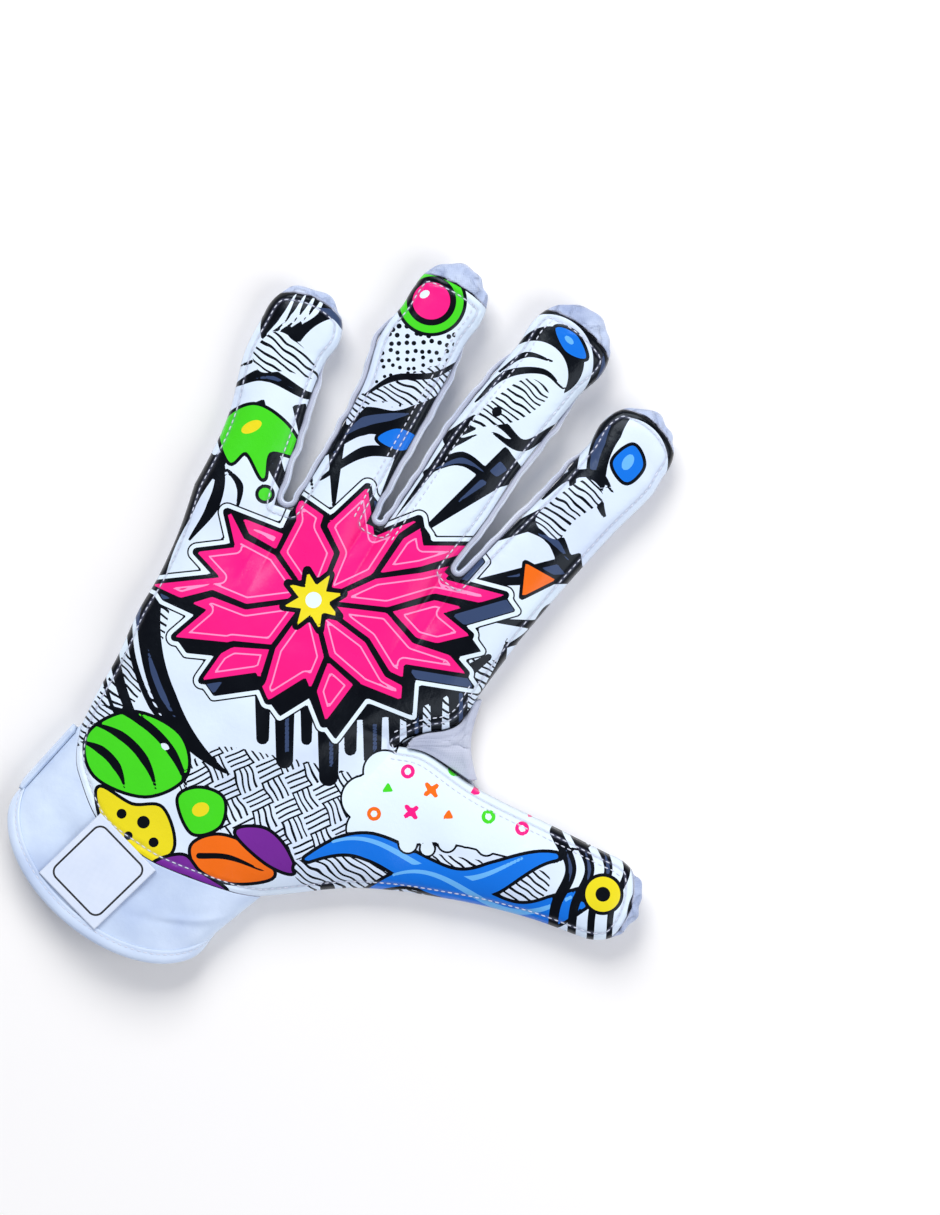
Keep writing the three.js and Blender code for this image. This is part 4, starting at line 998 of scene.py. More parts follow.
# %% [markdown]
# ## The print
# The print is a bold drawing of flat inks with black outlines: a shattered burst in the palm, ripples and drips of
# black ink round it, and bright pebbles, leaves, waves and confetti. It is painted in order, and a new shape takes its
# area from the inks below it. Its coordinates are millimetres too, u across the print and v up it.

# %% The inks
PATTERNS = ["dots", "weave", "hatch"]
OUTLINED = {"foam": 0.6, "green": 1.0, "yellow": 1.0, "orange": 1.0, "purple": 1.0, "blue": 1.0}
SPOTS = ["slate_spot", "pink_spot", "green_spot", "orange_spot", "yellow_spot", "sky_spot", "white_spot"]


class Print:
    """The inks' distances at a set of places, painted shape by shape."""

    def __init__(self, p):
        self.p = p
        self.inks = {name: np.full(len(p), FAR) for name in [*PATTERNS, "ink", *OUTLINED, *SPOTS]}

    def paint(self, ink, shape):
        """A shape in one ink, or in none for bare white. It covers what lies below it, and so does its outline, whose
        width belongs to the ink and which the shader draws. A spot covers nothing, for it's drawn last."""
        if ink not in SPOTS:
            line = OUTLINED.get(ink, 0.0)
            for name, field in self.inks.items():
                if name != ink:
                    self.inks[name] = np.maximum(field, -shape if name == "ink" else line - shape)
        if ink:
            self.inks[ink] = np.minimum(self.inks[ink], shape)

    def areas(self, ink, *outlines):
        """Areas with smooth sides, each through a few points."""
        for points in outlines:
            self.paint(ink, blob(self.p, points))

    def brush(self, ink, *lines):
        """Smooth brush strokes, each through a few points, with its half widths along the way."""
        for points, half in lines:
            self.paint(ink, stroke(self.p, smooth(points), half))

    def arcs(self, ink, middle, *lines):
        """Brush strokes along a circle's arc, each a radius, two angles in degrees and the half widths."""
        for radius, start, end, half in lines:
            self.paint(ink, stroke(self.p, arc(middle, radius, start, end), half))

    def discs(self, ink, *rows):
        """Discs, each a middle and a radius, and for an ellipse the squash and the turn in degrees."""
        for middle, *size in rows:
            self.paint(ink, disc(self.p, middle, *size))


print("inks:", len(PATTERNS) + 1 + len(OUTLINED), "with areas and", len(SPOTS), "for spots")

# %% [markdown]
# ### Under the burst
# A splash of ink is easy to draw round a middle: ripples are arcs about it, and rays are wedges that point at it. The
# drips run straight down from a pool, and each swells a little at its end as a hanging drop does.

# %% Ripples, rays and drips
BURST_MIDDLE = np.array([47.0, 59.0])
RIPPLE_MIDDLE = BURST_MIDDLE + [1, -3]
DRIP_TOP, SLATE_RAY = 34, 3


def ray(p, angle, width, near, far, middle=BURST_MIDDLE):
    """A wedge that points at a middle: its width in degrees, and its ends' distances from there."""
    turn = np.radians([angle, angle - width * 0.5, angle + width * 0.5])
    reach = np.array([near, far, far])[:, None]
    return polygon(p, middle + reach * np.stack([np.cos(turn), np.sin(turn)], -1))


def palm_ink(art):
    """The black ripples, rays and drips of the palm, and the woven and hatched grounds below them."""
    art.areas("weave", [(2, 4), (12, 16), (30, 14), (48, 10), (62, 4), (58, -12), (40, -19), (20, -12)])
    art.areas("hatch", [(-31, 16), (-21, 34), (-9, 52), (-1, 60), (-4, 44), (-14, 26)],
              [(60, 38), (84, 44), (98, 40), (92, 28), (76, 22), (62, 26)])
    for radius, half, start, end in ((57, 5.6, 116, 238), (67, 1.9, 128, 226), (71.5, 0.9, 132, 215),
                                     (52, 2.6, 292, 352), (58.5, 1.3, 296, 350)):
        art.arcs("ink", RIPPLE_MIDDLE, (radius, start, end, [0.2, half, half, half * 0.8, 0.2]))
    art.arcs(None, RIPPLE_MIDDLE, (59.5, 150, 214, [0.1, 0.8, 0.8, 0.1]))
    for size in ((112, 8, 24, 64), (99, 4, 30, 60), (88, 7, 24, 58), (64, 6, 26, 66), (53, 3, 30, 62),
                 (38, 8, 30, 70), (22, 5, 36, 74), (8, 7, 34, 76), (-6, 3.5, 40, 74)):
        art.paint("ink", ray(art.p, *size))
    for u, end, half in ((27, 19, 1.8), (33.5, 12.5, 2.4), (40, 18.5, 1.5), (46.5, 7.5, 2.7), (53, 15.5, 1.7),
                         (59.5, 10, 2.4), (66, 17.5, 1.5), (72, 13.5, 2.1), (78.5, 20, 1.5), (85, 16.5, 2.3)):
        widths = [half * 1.3, half * 0.8, half * 0.75, half * 1.05]
        art.paint("ink", stroke(art.p, [(u, DRIP_TOP), (u, end)], widths))
    art.brush("ink", ([(24, 34), (45, 29), (62, 29), (80, 34), (94, 43)], [1, 4, 4, 3, 1]))
    for radius, half, start, end in ((58.6, 1.5, 150, 186), (56.2, 0.9, 190, 214), (53, 0.9, 312, 336)):
        art.arcs("slate_spot", RIPPLE_MIDDLE, (radius, start, end, [0.1, half, half, 0.1]))
    for u, high, low in ((34.2, 26, 15), (47.3, 22, 11), (60.2, 23, 14), (72.6, 28, 17), (85.8, 32, 20)):
        art.paint("slate_spot", stroke(art.p, [(u, high), (u, low)], [0.6, 1.0, 1.0, 0.6]))
    for angle, near, far in ((112.5, 44, 62), (88.5, 42, 56), (38.5, 46, 66), (8.5, 52, 72)):
        art.paint("slate_spot", ray(art.p, angle, SLATE_RAY, near, far))


# %% [markdown]
# ### The burst
# The burst is a star on a flat ellipse, with a long and a short radius in turn. Cracks split it into shards, and a
# copy moved down and to the right, joined to it by a slanting side for each edge, gives it a thick drop shadow.

# %% The burst
BURST_WIDE, BURST_HIGH, BURST_FALL, BURST_LINE = 51, 34, np.array([3.4, -4.8]), 1.3
SPIKES = table("angle far dip", (4, 1.02, 0.7), (31, 0.98, 0.74), (55, 0.9, 0.64), (78, 1.04, 0.72),
               (101, 0.93, 0.66), (127, 1.0, 0.74), (150, 0.9, 0.68), (171, 1.06, 0.72), (198, 0.95, 0.68),
               (222, 1.0, 0.74), (247, 0.92, 0.66), (268, 1.05, 0.7), (296, 0.94, 0.68), (322, 1.0, 0.72),
               (341, 0.86, 0.66))
HIT, CORE_POINTS, CORE_FAR, CORE_NEAR, CORE_SPOT = np.array([42.0, 60.0]), 8, 9.0, 4.4, 2.4
CRACKS = [[(45, 64), (49, 74), (45, 82), (50, 96)], [(47, 61), (60, 67), (68, 79), (82, 88)],
          [(47, 59), (64, 57), (78, 61), (104, 55)], [(46, 57), (58, 48), (64, 38), (80, 30)],
          [(43, 55), (46, 43), (42, 33), (45, 21)], [(38, 57), (30, 46), (27, 36), (16, 27)],
          [(37, 60), (22, 58), (12, 62), (-6, 57)], [(38, 64), (31, 74), (22, 79), (16, 92)],
          [(64, 57), (72, 48), (92, 42)], [(60, 67), (74, 69), (92, 74)], [(30, 46), (18, 47), (4, 40)],
          [(31, 74), (36, 84), (34, 95)], [(46, 43), (55, 35), (60, 24)]]


def burst_corners():
    """The burst's corners: the end of a spike and the dip after it in turn."""
    angle = np.radians(SPIKES["angle"])
    between = (angle + np.append(angle[1:], angle[0] + 2 * math.pi)) * 0.5
    turn = np.stack([angle, between], 1).ravel()
    far = np.stack([SPIKES["far"], SPIKES["dip"]], 1).ravel()
    return BURST_MIDDLE + np.stack([BURST_WIDE * far * np.cos(turn), BURST_HIGH * far * np.sin(turn)], -1)


def burst(p):
    """The burst: the distance from its outline and shadow, the shadow's lighter sides, its shards, and the star
    where the cracks meet."""
    corners = burst_corners()
    star = polygon(p, corners)
    sides = [polygon(p, [a, b, b + BURST_FALL, a + BURST_FALL]) for a, b in zip(corners, np.roll(corners, -1, 0))]
    cracks = join(*[stroke(p, line, [0.75, 0.85, 1.0, 1.5]) for line in CRACKS])
    angle = np.radians(12 + np.arange(2 * CORE_POINTS) * 180 / CORE_POINTS)
    reach = np.where(np.arange(2 * CORE_POINTS) % 2, CORE_NEAR, CORE_FAR)[:, None]
    return {"around": join(star - BURST_LINE, polygon(p, corners + BURST_FALL), *sides),
            "shade": cut(join(*sides[1::4]) + 0.35, star - BURST_LINE),
            "pink": cut(star, cracks),
            "core": polygon(p, HIT + reach * np.stack([np.cos(angle), np.sin(angle)], -1)),
            "core_spot": disc(p, HIT, CORE_SPOT)}


print("burst:", len(burst_corners()), "corners and", len(CRACKS), "cracks")

# %% [markdown]
# ### The heel and the thumb
# Pebbles and leaves are closed curves through a few points. The two waves are one sine line drawn twice, from thin to
# thick and back, with a lighter line along the crest. The cloud is a row of discs joined to the area below them.

# %% Pebbles, leaves and waves
WAVE_LONG, WAVE_HIGH, WAVE_RATE, WAVE_SLOPE = 74, 5.2, 0.105, 0.06
THUMB_STRIPE, THUMB_STRIPE_PITCH = 117, 5.6


def heel_print(art):
    """Bright pebbles and leaves at the heel's little-finger side."""
    art.areas("green", [(-25, 20), (-12, 26.5), (2, 20), (4, 8), (-8, 2), (-23, 8)])
    for k in range(3):
        art.arcs("ink", (-30 + 2 * k, 2 - 2 * k), (16 + 7.5 * k, 8, 82, [0.2, 1.3, 1.3, 0.2]))
    art.discs("white_spot", ((-2, 16.5), 1.5, 0.6, -40))
    art.areas("yellow", [(-22, 4), (-12, -1), (-3, -2), (0, -14), (-10, -19), (-19, -10)])
    art.discs("ink", ((-15, -3.5), 1.5), ((-8.5, -6), 1.9), ((-13, -10), 1.3), ((-5.5, -12), 1.5))
    art.areas("green", [(2, 1), (8, 4), (15, 1), (14, -7), (6, -9)])
    art.discs("yellow_spot", ((8.5, -2.2), 2.6, 0.8, 20))
    art.areas("orange", [(6, -13), (14, -10), (24, -14), (30, -22), (18, -24), (8, -20)])
    art.brush("ink", ([(8, -16), (17, -16.5), (28, -21)], [0.9, 0.8, 0.2]))
    art.areas("purple", [(-6, -19), (3, -16), (8, -21), (16, -27), (6, -29), (-3, -26)])
    art.brush("ink", ([(-3, -21.5), (4, -22.5), (12, -26.5)], [0.9, 0.8, 0.2]))
    art.areas("purple", [(19, -9), (27, -8), (33, -13), (36, -21), (28, -18)])


def cloud(p):
    """A bank of round cloud on the ball of the thumb, whose edge is drawn as a thin line."""
    puffs = [(58, -8, 6), (57, 1, 6.5), (63, 9, 6), (73, 13, 6.5), (83, 14, 6), (92, 11, 6), (101, 8, 6),
             (109, 2, 6.5), (117, -3, 6), (121, -9, 5)]
    return join(*[disc(p, (u, v), r) for u, v, r in puffs],
                blob(p, [(56, -14), (58, 2), (68, 10), (88, 12), (106, 4), (120, -8), (112, -18), (80, -12)]))


def thumb(art):
    """Blue waves with foam along the thumb, and stripes and an eyelet at its tip."""
    art.areas("hatch", [(36, -18), (60, -14), (96, -18), (112, -22), (104, -32), (70, -33), (44, -28)])
    for start, low in ((40, -17), (58, -27)):
        along = np.linspace(start, start + WAVE_LONG, 60) - start
        line = np.stack([start + along, low - WAVE_SLOPE * along + WAVE_HIGH * np.sin(along * WAVE_RATE)], -1)
        art.paint("blue", stroke(art.p, line, [0.6, 3.6, 4.6, 4.2, 0.8]))
        art.paint("sky_spot", stroke(art.p, line[6:-8] + [0, 1.9], [0.4, 0.8, 0.9, 0.4]))
    for k, u in enumerate(np.linspace(70, 105, 7)):
        art.discs("foam", ((u, -12.6 - 1.4 * math.sin(k * 1.7)), 2.5 - 0.5 * (k % 2)))
    stripes_at = [THUMB_STRIPE + THUMB_STRIPE_PITCH * k for k in range(5)]
    for k, u in enumerate(stripes_at):
        art.brush("ink", ([(u - 3, -9), (u + 1.5, -20), (u - 3, -31), (u - 4, -42)], [1.8 - 0.22 * k, 1.4 - 0.18 * k]))
    for u in stripes_at[:3]:
        art.brush("slate_spot", ([(u, -14), (u + 1.4, -20), (u, -26)], [0.1, 0.55, 0.1]))
    art.discs("yellow", ((128, -27.5), 5.2))
    art.discs("ink", ((128, -27.5), 2.2), ((46, -26), 2.2), ((52, -31), 1.5), ((72, -38), 2.0), ((80, -36), 1.3),
              ((104, -38), 1.8))


# %% Confetti
def confetti(art):
    """Small wedges, rings and crosses on the cloud, in four colours."""
    for u, v, colour, kind in (
            (64, 4, "green", "wedge"), (70, 9, "pink", "ring"), (77, 3.5, "orange", "cross"),
            (84, 9.5, "green", "ring"), (90, 3, "pink", "wedge"), (97, 8, "green", "cross"),
            (103, 2.5, "orange", "ring"), (71, -3, "pink", "cross"), (82, -4, "orange", "wedge"),
            (94, -4.5, "green", "ring"), (108, -3, "pink", "cross"), (60, -3.5, "orange", "ring"),
            (113, 3, "green", "wedge"), (104, -8, "pink", "ring"), (119, -2, "orange", "wedge")):
        if kind == "wedge":
            shape = polygon(art.p, [(u - 1.9, v - 1.2), (u + 1.7, v - 0.9), (u + 0.2, v + 2)])
        elif kind == "ring":
            shape = cut(disc(art.p, (u, v), 2.1), disc(art.p, (u, v), 1.0))
        else:
            shape = join(stroke(art.p, [(u - 1.6, v - 1.2), (u + 1.6, v + 1.2)], 0.7),
                         stroke(art.p, [(u - 1.3, v + 1.6), (u + 1.3, v - 1.6)], 0.7))
        art.paint(f"{colour}_spot", shape)


# %% [markdown]
# ### The fingers
# Each finger has its own accents, between black sweeps that thin to nothing at their ends, as strokes of a pointed
# brush do. A crescent is a disc with another cut out of it.

# %% Little and ring finger


def little_finger(art):
    """A striped cap, a green splash with a drop, and slanting ribbons."""
    art.paint("ink", cut(disc(art.p, (41, 141), 15), disc(art.p, (52, 128), 16.5)))
    for k in range(4):
        art.brush(None, ([(28 + 3.4 * k, 139 + k), (33 + 3.2 * k, 144 + 0.6 * k), (37 + 3 * k, 152)], [0.2, 0.85, 0.2]))
    art.areas("green", [(14, 112), (24, 118), (34, 112), (38, 103), (29, 104), (27, 96), (22, 104), (17, 101)])
    art.discs("green", ((27.5, 91.5), 1.9))
    art.discs("yellow_spot", ((23.5, 111.5), 3.3, 0.5, 25))
    art.brush("ink", ([(18, 124), (28, 127), (40, 121), (46, 123)], [0.5, 2.1, 1.2, 0.4]),
              ([(20, 130), (30, 132), (41, 127)], [0.3, 1.0, 0.3]))
    art.areas("hatch", [(24, 134), (31, 140), (40, 134), (43, 126), (34, 128), (26, 128)])
    art.brush("ink", ([(9, 106), (14, 98), (12, 88), (5, 78)], [0.3, 1.5, 1.9, 0.4]),
              ([(15, 100), (20, 94), (19, 86)], [0.3, 1.1, 0.3]))
    art.brush("slate_spot", ([(43, 147), (48, 145), (51, 140)], [0.1, 1.3, 0.1]),
              ([(24, 126), (30, 126), (36, 123)], [0.1, 0.6, 0.1]))


def ring_finger(art):
    """A pink disc in a black and green ring, dots and a broad sweep."""
    art.areas("dots", [(60, 122), (66, 142), (76, 146), (84, 140), (81, 129), (77, 121), (68, 117)])
    art.discs("green", ((77, 149), 9.6))
    art.discs("ink", ((77, 149), 7.4))
    art.discs("pink_spot", ((77, 149), 5.6))
    art.discs("white_spot", ((75, 151), 1.6, 0.7, 30))
    art.brush("ink", ([(45, 104), (56, 113), (68, 113), (80, 122)], [1.2, 4.2, 3.6, 0.4]),
              ([(44, 96), (57, 104), (70, 104), (78, 110)], [0.5, 1.7, 1.4, 0.3]))
    art.areas("blue", [(61, 108), (67, 111), (73, 108), (68, 104.5)])
    art.brush("slate_spot", ([(51, 109), (57, 113), (65, 114.5), (71, 115.5)], [0.1, 1.5, 1.1, 0.1]))
    art.areas("hatch", [(52, 112), (60, 119), (72, 118), (82, 124), (80, 130), (64, 124), (54, 120)])
    art.brush("ink", ([(57, 121), (66, 126), (78, 127), (88, 133)], [0.3, 1.0, 0.9, 0.3]))


# %% Middle and index finger
BAND_MIDDLE = (152, 96)


def middle_finger(art):
    """Crescents towards the tip, white ribbons and a blue drop."""
    art.paint("ink", cut(disc(art.p, (117, 136), 15.5), disc(art.p, (111, 131), 14.2)))
    art.paint("ink", cut(disc(art.p, (112, 131), 10.5), disc(art.p, (107.5, 127), 10.2)))
    art.areas("blue", [(114, 141), (120, 139), (123, 132), (117, 134)])
    art.discs("sky_spot", ((118, 137.3), 1.7, 0.5, -45))
    art.brush("ink", ([(83, 108), (94, 113), (104, 106), (114, 112)], [2.6, 3.2, 1.8, 0.5]))
    art.brush(None, ([(86, 108.5), (95, 111), (102, 106.5)], [0.3, 1.0, 0.2]))
    art.brush("ink", ([(75, 98), (86, 102), (97, 95), (106, 99)], [0.6, 2.2, 1.3, 0.3]))
    art.areas("hatch", [(88, 112), (97, 121), (106, 126), (112, 121), (104, 114), (96, 112)])
    art.brush("ink", ([(90, 119), (99, 127), (110, 128), (116, 123)], [0.3, 1.2, 0.9, 0.3]),
              ([(97, 128), (105, 133), (113, 131)], [0.3, 0.9, 0.3]))
    art.discs("ink", ((96.5, 116), 1.5))
    art.arcs("slate_spot", (111, 131), (17.3, -48, 8, [0.1, 1.4, 0.1]))
    art.brush("slate_spot", ([(78, 99), (86, 101.5), (93, 98)], [0.1, 0.9, 0.1]))


def index_finger(art):
    """Bands across the finger, a wave, a blue stone and an orange wedge."""
    art.arcs("ink", BAND_MIDDLE, (26, 118, 205, [0.6, 3.6, 3.0, 0.6]), (33, 125, 200, [0.4, 1.7, 1.3, 0.4]))
    art.paint("ink", cut(disc(art.p, (141, 107), 13), disc(art.p, (134, 101), 13.5)))
    art.areas("blue", [(131, 101), (137, 106), (140, 100), (135, 95)])
    art.discs("sky_spot", ((135.5, 101), 2.6, 0.6, 60))
    art.brush("ink", ([(103, 82), (113, 79), (118, 70), (127, 68)], [0.5, 2.6, 2.2, 0.5]))
    art.paint("orange", polygon(art.p, [(105, 71), (114, 66), (104, 61)]))
    art.arcs("slate_spot", BAND_MIDDLE, (27, 142, 184, [0.1, 1.5, 1.2, 0.1]))
    art.brush("slate_spot", ([(108, 80), (114, 77), (118, 71.5)], [0.1, 1.0, 0.1]))
    art.areas("hatch", [(108, 84), (116, 92), (124, 96), (128, 90), (120, 84), (114, 78)])
    art.brush("ink", ([(110, 90), (118, 97), (127, 97), (131, 92)], [0.3, 1.3, 1.1, 0.3]),
              ([(99, 46), (107, 50), (112, 57), (119, 60)], [0.3, 1.8, 1.6, 0.3]))


# %% The whole print
def paint_print(p):
    """Paints the whole print at the given places, and returns all of its distances by name."""
    art = Print(p)
    for part in (palm_ink, little_finger, ring_finger, middle_finger, index_finger, heel_print):
        part(art)
    art.paint("foam", cloud(p))
    thumb(art)
    confetti(art)
    return {**art.inks, **burst(p)}


# %% [markdown]
# ### On the palm
# The print lies at forty degrees to the hand. Its coordinates are kept on the mesh too, so that the fine patterns can
# be drawn by the shader: no number on a point could hold a dot or a line thinner than the mesh's own cells.

# %% Put the print on the palm
PRINT_TURN = math.radians(40)
x, y = front_points[:, 0], front_points[:, 1]
c, s = math.cos(PRINT_TURN), math.sin(PRINT_TURN)
print_points = np.stack([x * c + y * s, y * c - x * s], -1)
for name, field in paint_print(print_points).items():
    store(palm, name, field)
store(palm, "print_u", print_points[:, 0])
store(palm, "print_v", print_points[:, 1])
store(palm, "seam", edge_distance - STITCH_INSET)
print("print fields:", len(palm.data.attributes))

# %% [markdown]
# ## Stitches
# Dashed stitches run round every panel two millimetres inside its edge. A path is the panel's border moved inwards;
# where the border turns sharply, the moved points that come too near it are left out, which rounds the corner as a
# sewing machine does. Each stitch is a short capsule laid on the surface, and all of them are one mesh, made from one
# template by whole-array arithmetic.

# %% Stitch paths
PITCH, STITCH_LONG, STITCH_THICK, STITCH_LIFT = 2.05, 1.35, 0.2, 0.1


def inward_path(border, distance, closed=True):
    """A border moved to its left by a distance, without the points that come nearer than that to the border."""
    step = unit(np.roll(border, -1, 0) - np.roll(border, 1, 0) if closed else np.gradient(border, axis=0))
    moved = border + distance * np.stack([step[:, 1], -step[:, 0]], -1)
    loop = np.concatenate([border, border[:1]]) if closed else border
    moved = moved[distance_to(moved, loop) > distance * 0.97]
    return np.concatenate([moved, moved[:1]]) if closed else moved


def even_steps(path, pitch):
    """The same path with a point every "pitch" millimetres."""
    length = np.concatenate([[0], np.cumsum(np.linalg.norm(np.diff(path, axis=0), axis=1))])
    at = np.arange(0, length[-1], pitch)
    return np.stack([np.interp(at, length, path[:, k]) for k in range(path.shape[1])], -1)


def drape(places, surface):
    """The heights of a surface of points at some places: the mean of the four nearest, weighted by nearness."""

    def height(part):
        away = ((part[:, None] - surface[:, :2]) ** 2).sum(2)
        near = np.argpartition(away, 4, axis=1)[:, :4]
        weight = 1 / (np.take_along_axis(away, near, 1) + 0.02)
        return (surface[near, 2] * weight).sum(1) / weight.sum(1)

    return in_parts(places, height, 500)


def stitch_ends(path, pitch=PITCH, long=STITCH_LONG):
    """The two ends of each stitch on a path in the plan or in space."""
    middle = even_steps(path, pitch)
    half = unit(np.gradient(middle, axis=0)) * long * 0.5
    return [middle - half, middle + half]


# %% Stitch shapes


def capsule(sides=6, rings=7):
    """A unit stitch: x from -1 to 1 along it, with a round section that thins to a point at both ends."""
    x = -np.cos(np.linspace(0, math.pi, rings))
    around = np.linspace(0, 2 * math.pi, sides, endpoint=False)
    radius = np.sqrt(np.maximum(1 - np.abs(x) ** 3, 0))
    x, radius = np.repeat(x[:, None], sides, 1), radius[:, None]
    grid = np.stack([x, radius * np.cos(around), radius * np.sin(around)], -1)
    grid = np.concatenate([grid, grid[:, :1]], 1)
    return weld([grid], [False])[:2]


def lay_stitches(frames, thick=STITCH_THICK):
    """One mesh of capsules between pairs of ends: the template's x along the stitch, its z up from the surface."""
    a, b = (np.concatenate(part) for part in zip(*frames))
    along = (b - a) * 0.5
    reach = np.linalg.norm(along, axis=1, keepdims=True)
    side = unit(np.stack([-along[:, 1], along[:, 0], np.zeros(len(along))], -1))
    up = np.cross(along / reach, side)
    template, cells = capsule()
    points = ((a + b) * 0.5)[:, None] + template[None, :, :1] * along[:, None] \
        + template[None, :, 1:2] * side[:, None] * thick + template[None, :, 2:] * up[:, None] * thick
    numbers = cells[None] + (np.arange(len(a)) * len(template))[:, None, None]
    return points.reshape(-1, 3), numbers.reshape(-1, 4)


# %% All the rows of stitches
front_edge = front_points[front_border, :2]
front_near = front_points[edge_distance < 9]


def front_row(border, inset, closed=False):
    """One row on the front beside a stretch of its border, just above the cloth."""
    ends = stitch_ends(inward_path(border, inset, closed))
    return [with_height(end, drape(end, front_near) + STITCH_LIFT) for end in ends]


# One row goes all the way round. A second one lies beside the ring and middle fingers' inner sides and the web.
rows = [front_row(front_edge, STITCH_INSET, True)]
for grid, part, inset in ((2, np.s_[::-1, -1], 4.0), (3, np.s_[:, 0], 4.0), (5, np.s_[:, 0], 3.9),
                          (0, np.s_[-21:THUMB_COLUMNS - 1:-1, -1], 3.9)):
    rows.append(front_row(front_points[front_numbers[grid][part], :2], inset))
points, cells = lay_stitches(rows)
front_stitches = make_piece("front_stitches", points, cells)
print("front stitches:", sum(len(r[0]) for r in rows))

binding_line = edge + outward * 0.25 + raised * 0.4
top_line, under_line = binding_line[CUFF_TOP[:-1]][3:-3], binding_line[~CUFF_TOP[:-1]][3:-3]
points, cells = lay_stitches([stitch_ends(line, 2.0, 1.4) for line in (top_line, under_line)], 0.17)
binding_stitches = make_piece("binding_stitches", points, cells)

# %% [markdown]
# ## Materials
# A small class keeps the node code short: a call makes a node, sets its numbers and links its inputs. Patterns are
# drawn in millimetres. A mask is 1 where a stored distance is below a limit, and each colour is laid over the ones
# below it by its mask, in the order of painting.

# %% Shader helper


class Shader:
    """A material with a Principled BSDF, the place on the object in millimetres, and short ways to add nodes."""

    def __init__(self, name, **constants):
        self.material = bpy.data.materials.new(name)
        self.material.use_nodes = True
        self.tree = self.material.node_tree
        self.base = self.tree.nodes["Principled BSDF"]
        metres = self.node("TexCoord", "Object")
        self.place = self.node("VectorMath", 0, {0: metres, "Scale": 1 / MM}, operation="SCALE")
        self.finish(**constants)

    def finish(self, **inputs):
        """Sets or links some inputs of the BSDF, and gives the material."""
        for key, value in inputs.items():
            self.feed(self.base.inputs[key.replace("_", " ")], value)
        return self.material

    def feed(self, socket, value):
        """Links a socket to an output, or sets its constant."""
        if isinstance(value, bpy.types.NodeSocket):
            self.tree.links.new(value, socket)
        elif isinstance(value, tuple) and len(value) == 3 and socket.type == "RGBA":
            socket.default_value = (*value, 1)
        else:
            socket.default_value = value

    def node(self, kind, out, inputs=(), **options):
        """A node of a kind with its options set and its inputs fed, by name or number; gives one output."""
        node = self.tree.nodes.new("ShaderNode" + kind)
        for key, value in options.items():
            setattr(node, key, value)
        for key, value in dict(inputs).items():
            self.feed(node.inputs[key], value)
        return node.outputs[out]

    def math(self, operation, *values):
        """A Math node."""
        return self.node("Math", 0, enumerate(values), operation=operation)

    def times(self, a, b):
        """A product."""
        return self.math("MULTIPLY", a, b)

    def total(self, a, a_share, b, b_share):
        """Two numbers added up, each times its share."""
        return self.math("MULTIPLY_ADD", a, a_share, self.times(b, b_share))

    def field(self, name):
        """A number stored on the mesh."""
        return self.node("Attribute", "Fac", attribute_name=name)

    def below(self, value, limit):
        """1 where the value is below the limit."""
        return self.math("LESS_THAN", value, limit)

    def mix(self, share, a, b):
        """Two colours mixed by a share."""
        node = self.tree.nodes.new("ShaderNodeMix")
        node.data_type = "RGBA"
        for key, value in zip((0, 6, 7), (share, a, b)):
            self.feed(node.inputs[key], value)
        return node.outputs[2]

    def layers(self, colour, rows):
        """Inks laid over a colour in turn, each where a stored distance is below its limit."""
        for name, limit, ink in rows:
            colour = self.mix(self.below(self.field(name), limit), colour, ink)
        return colour

    def noise(self, size, detail=3.0, rough=0.5):
        """Soft noise from 0 to 1, whose lumps are about "size" millimetres."""
        inputs = {"Vector": self.place, "Scale": 1.0 / size, "Detail": detail, "Roughness": rough}
        return self.node("TexNoise", "Fac", inputs)

    def spread(self, value, low, high, out_low=0.0, out_high=1.0):
        """Maps the value's range onto another, held at both ends."""
        return self.node("MapRange", 0, {0: value, 1: low, 2: high, 3: out_low, 4: out_high})

    def cloudy(self, size, detail=3.0, low=0.3, high=0.7, out_low=0.0, out_high=1.0):
        """Noise whose middle range is spread over another range."""
        return self.spread(self.noise(size, detail), low, high, out_low, out_high)

    def cells(self, place, scale, jitter):
        """The distance to the nearest of many scattered points of the plane."""
        inputs = {"Vector": place, "Scale": scale, "Randomness": jitter}
        return self.node("TexVoronoi", "Distance", inputs, voronoi_dimensions="2D")

    def woven(self, x_pitch, y_pitch):
        """The product of a sine wave along x and one along y."""
        x, y = (self.node("SeparateXYZ", k, {0: self.place}) for k in range(2))
        return self.times(*[self.math("SINE", self.times(value, 2 * math.pi / pitch))
                            for value, pitch in ((x, x_pitch), (y, y_pitch))])

    def bump(self, height, millimetres, strength=1.0, onto=None):
        """Lifts the surface's normal by a height from 0 to 1 times so many millimetres."""
        inputs = {"Height": height, "Distance": millimetres * MM, "Strength": strength}
        if onto is not None:
            inputs["Normal"] = onto
        return self.node("Bump", "Normal", inputs)


def linear(*levels):
    """A colour from 0 to 255 a channel, as the linear light that a shader takes."""
    c = np.array(levels) / 255
    return tuple(float(v) for v in np.where(c <= 0.04045, c / 12.92, ((c + 0.055) / 1.055) ** 2.4))


WHITE, BLACK = linear(231, 245, 254), linear(2, 2, 5)
print("the print's white in linear light:", np.round(WHITE, 3))
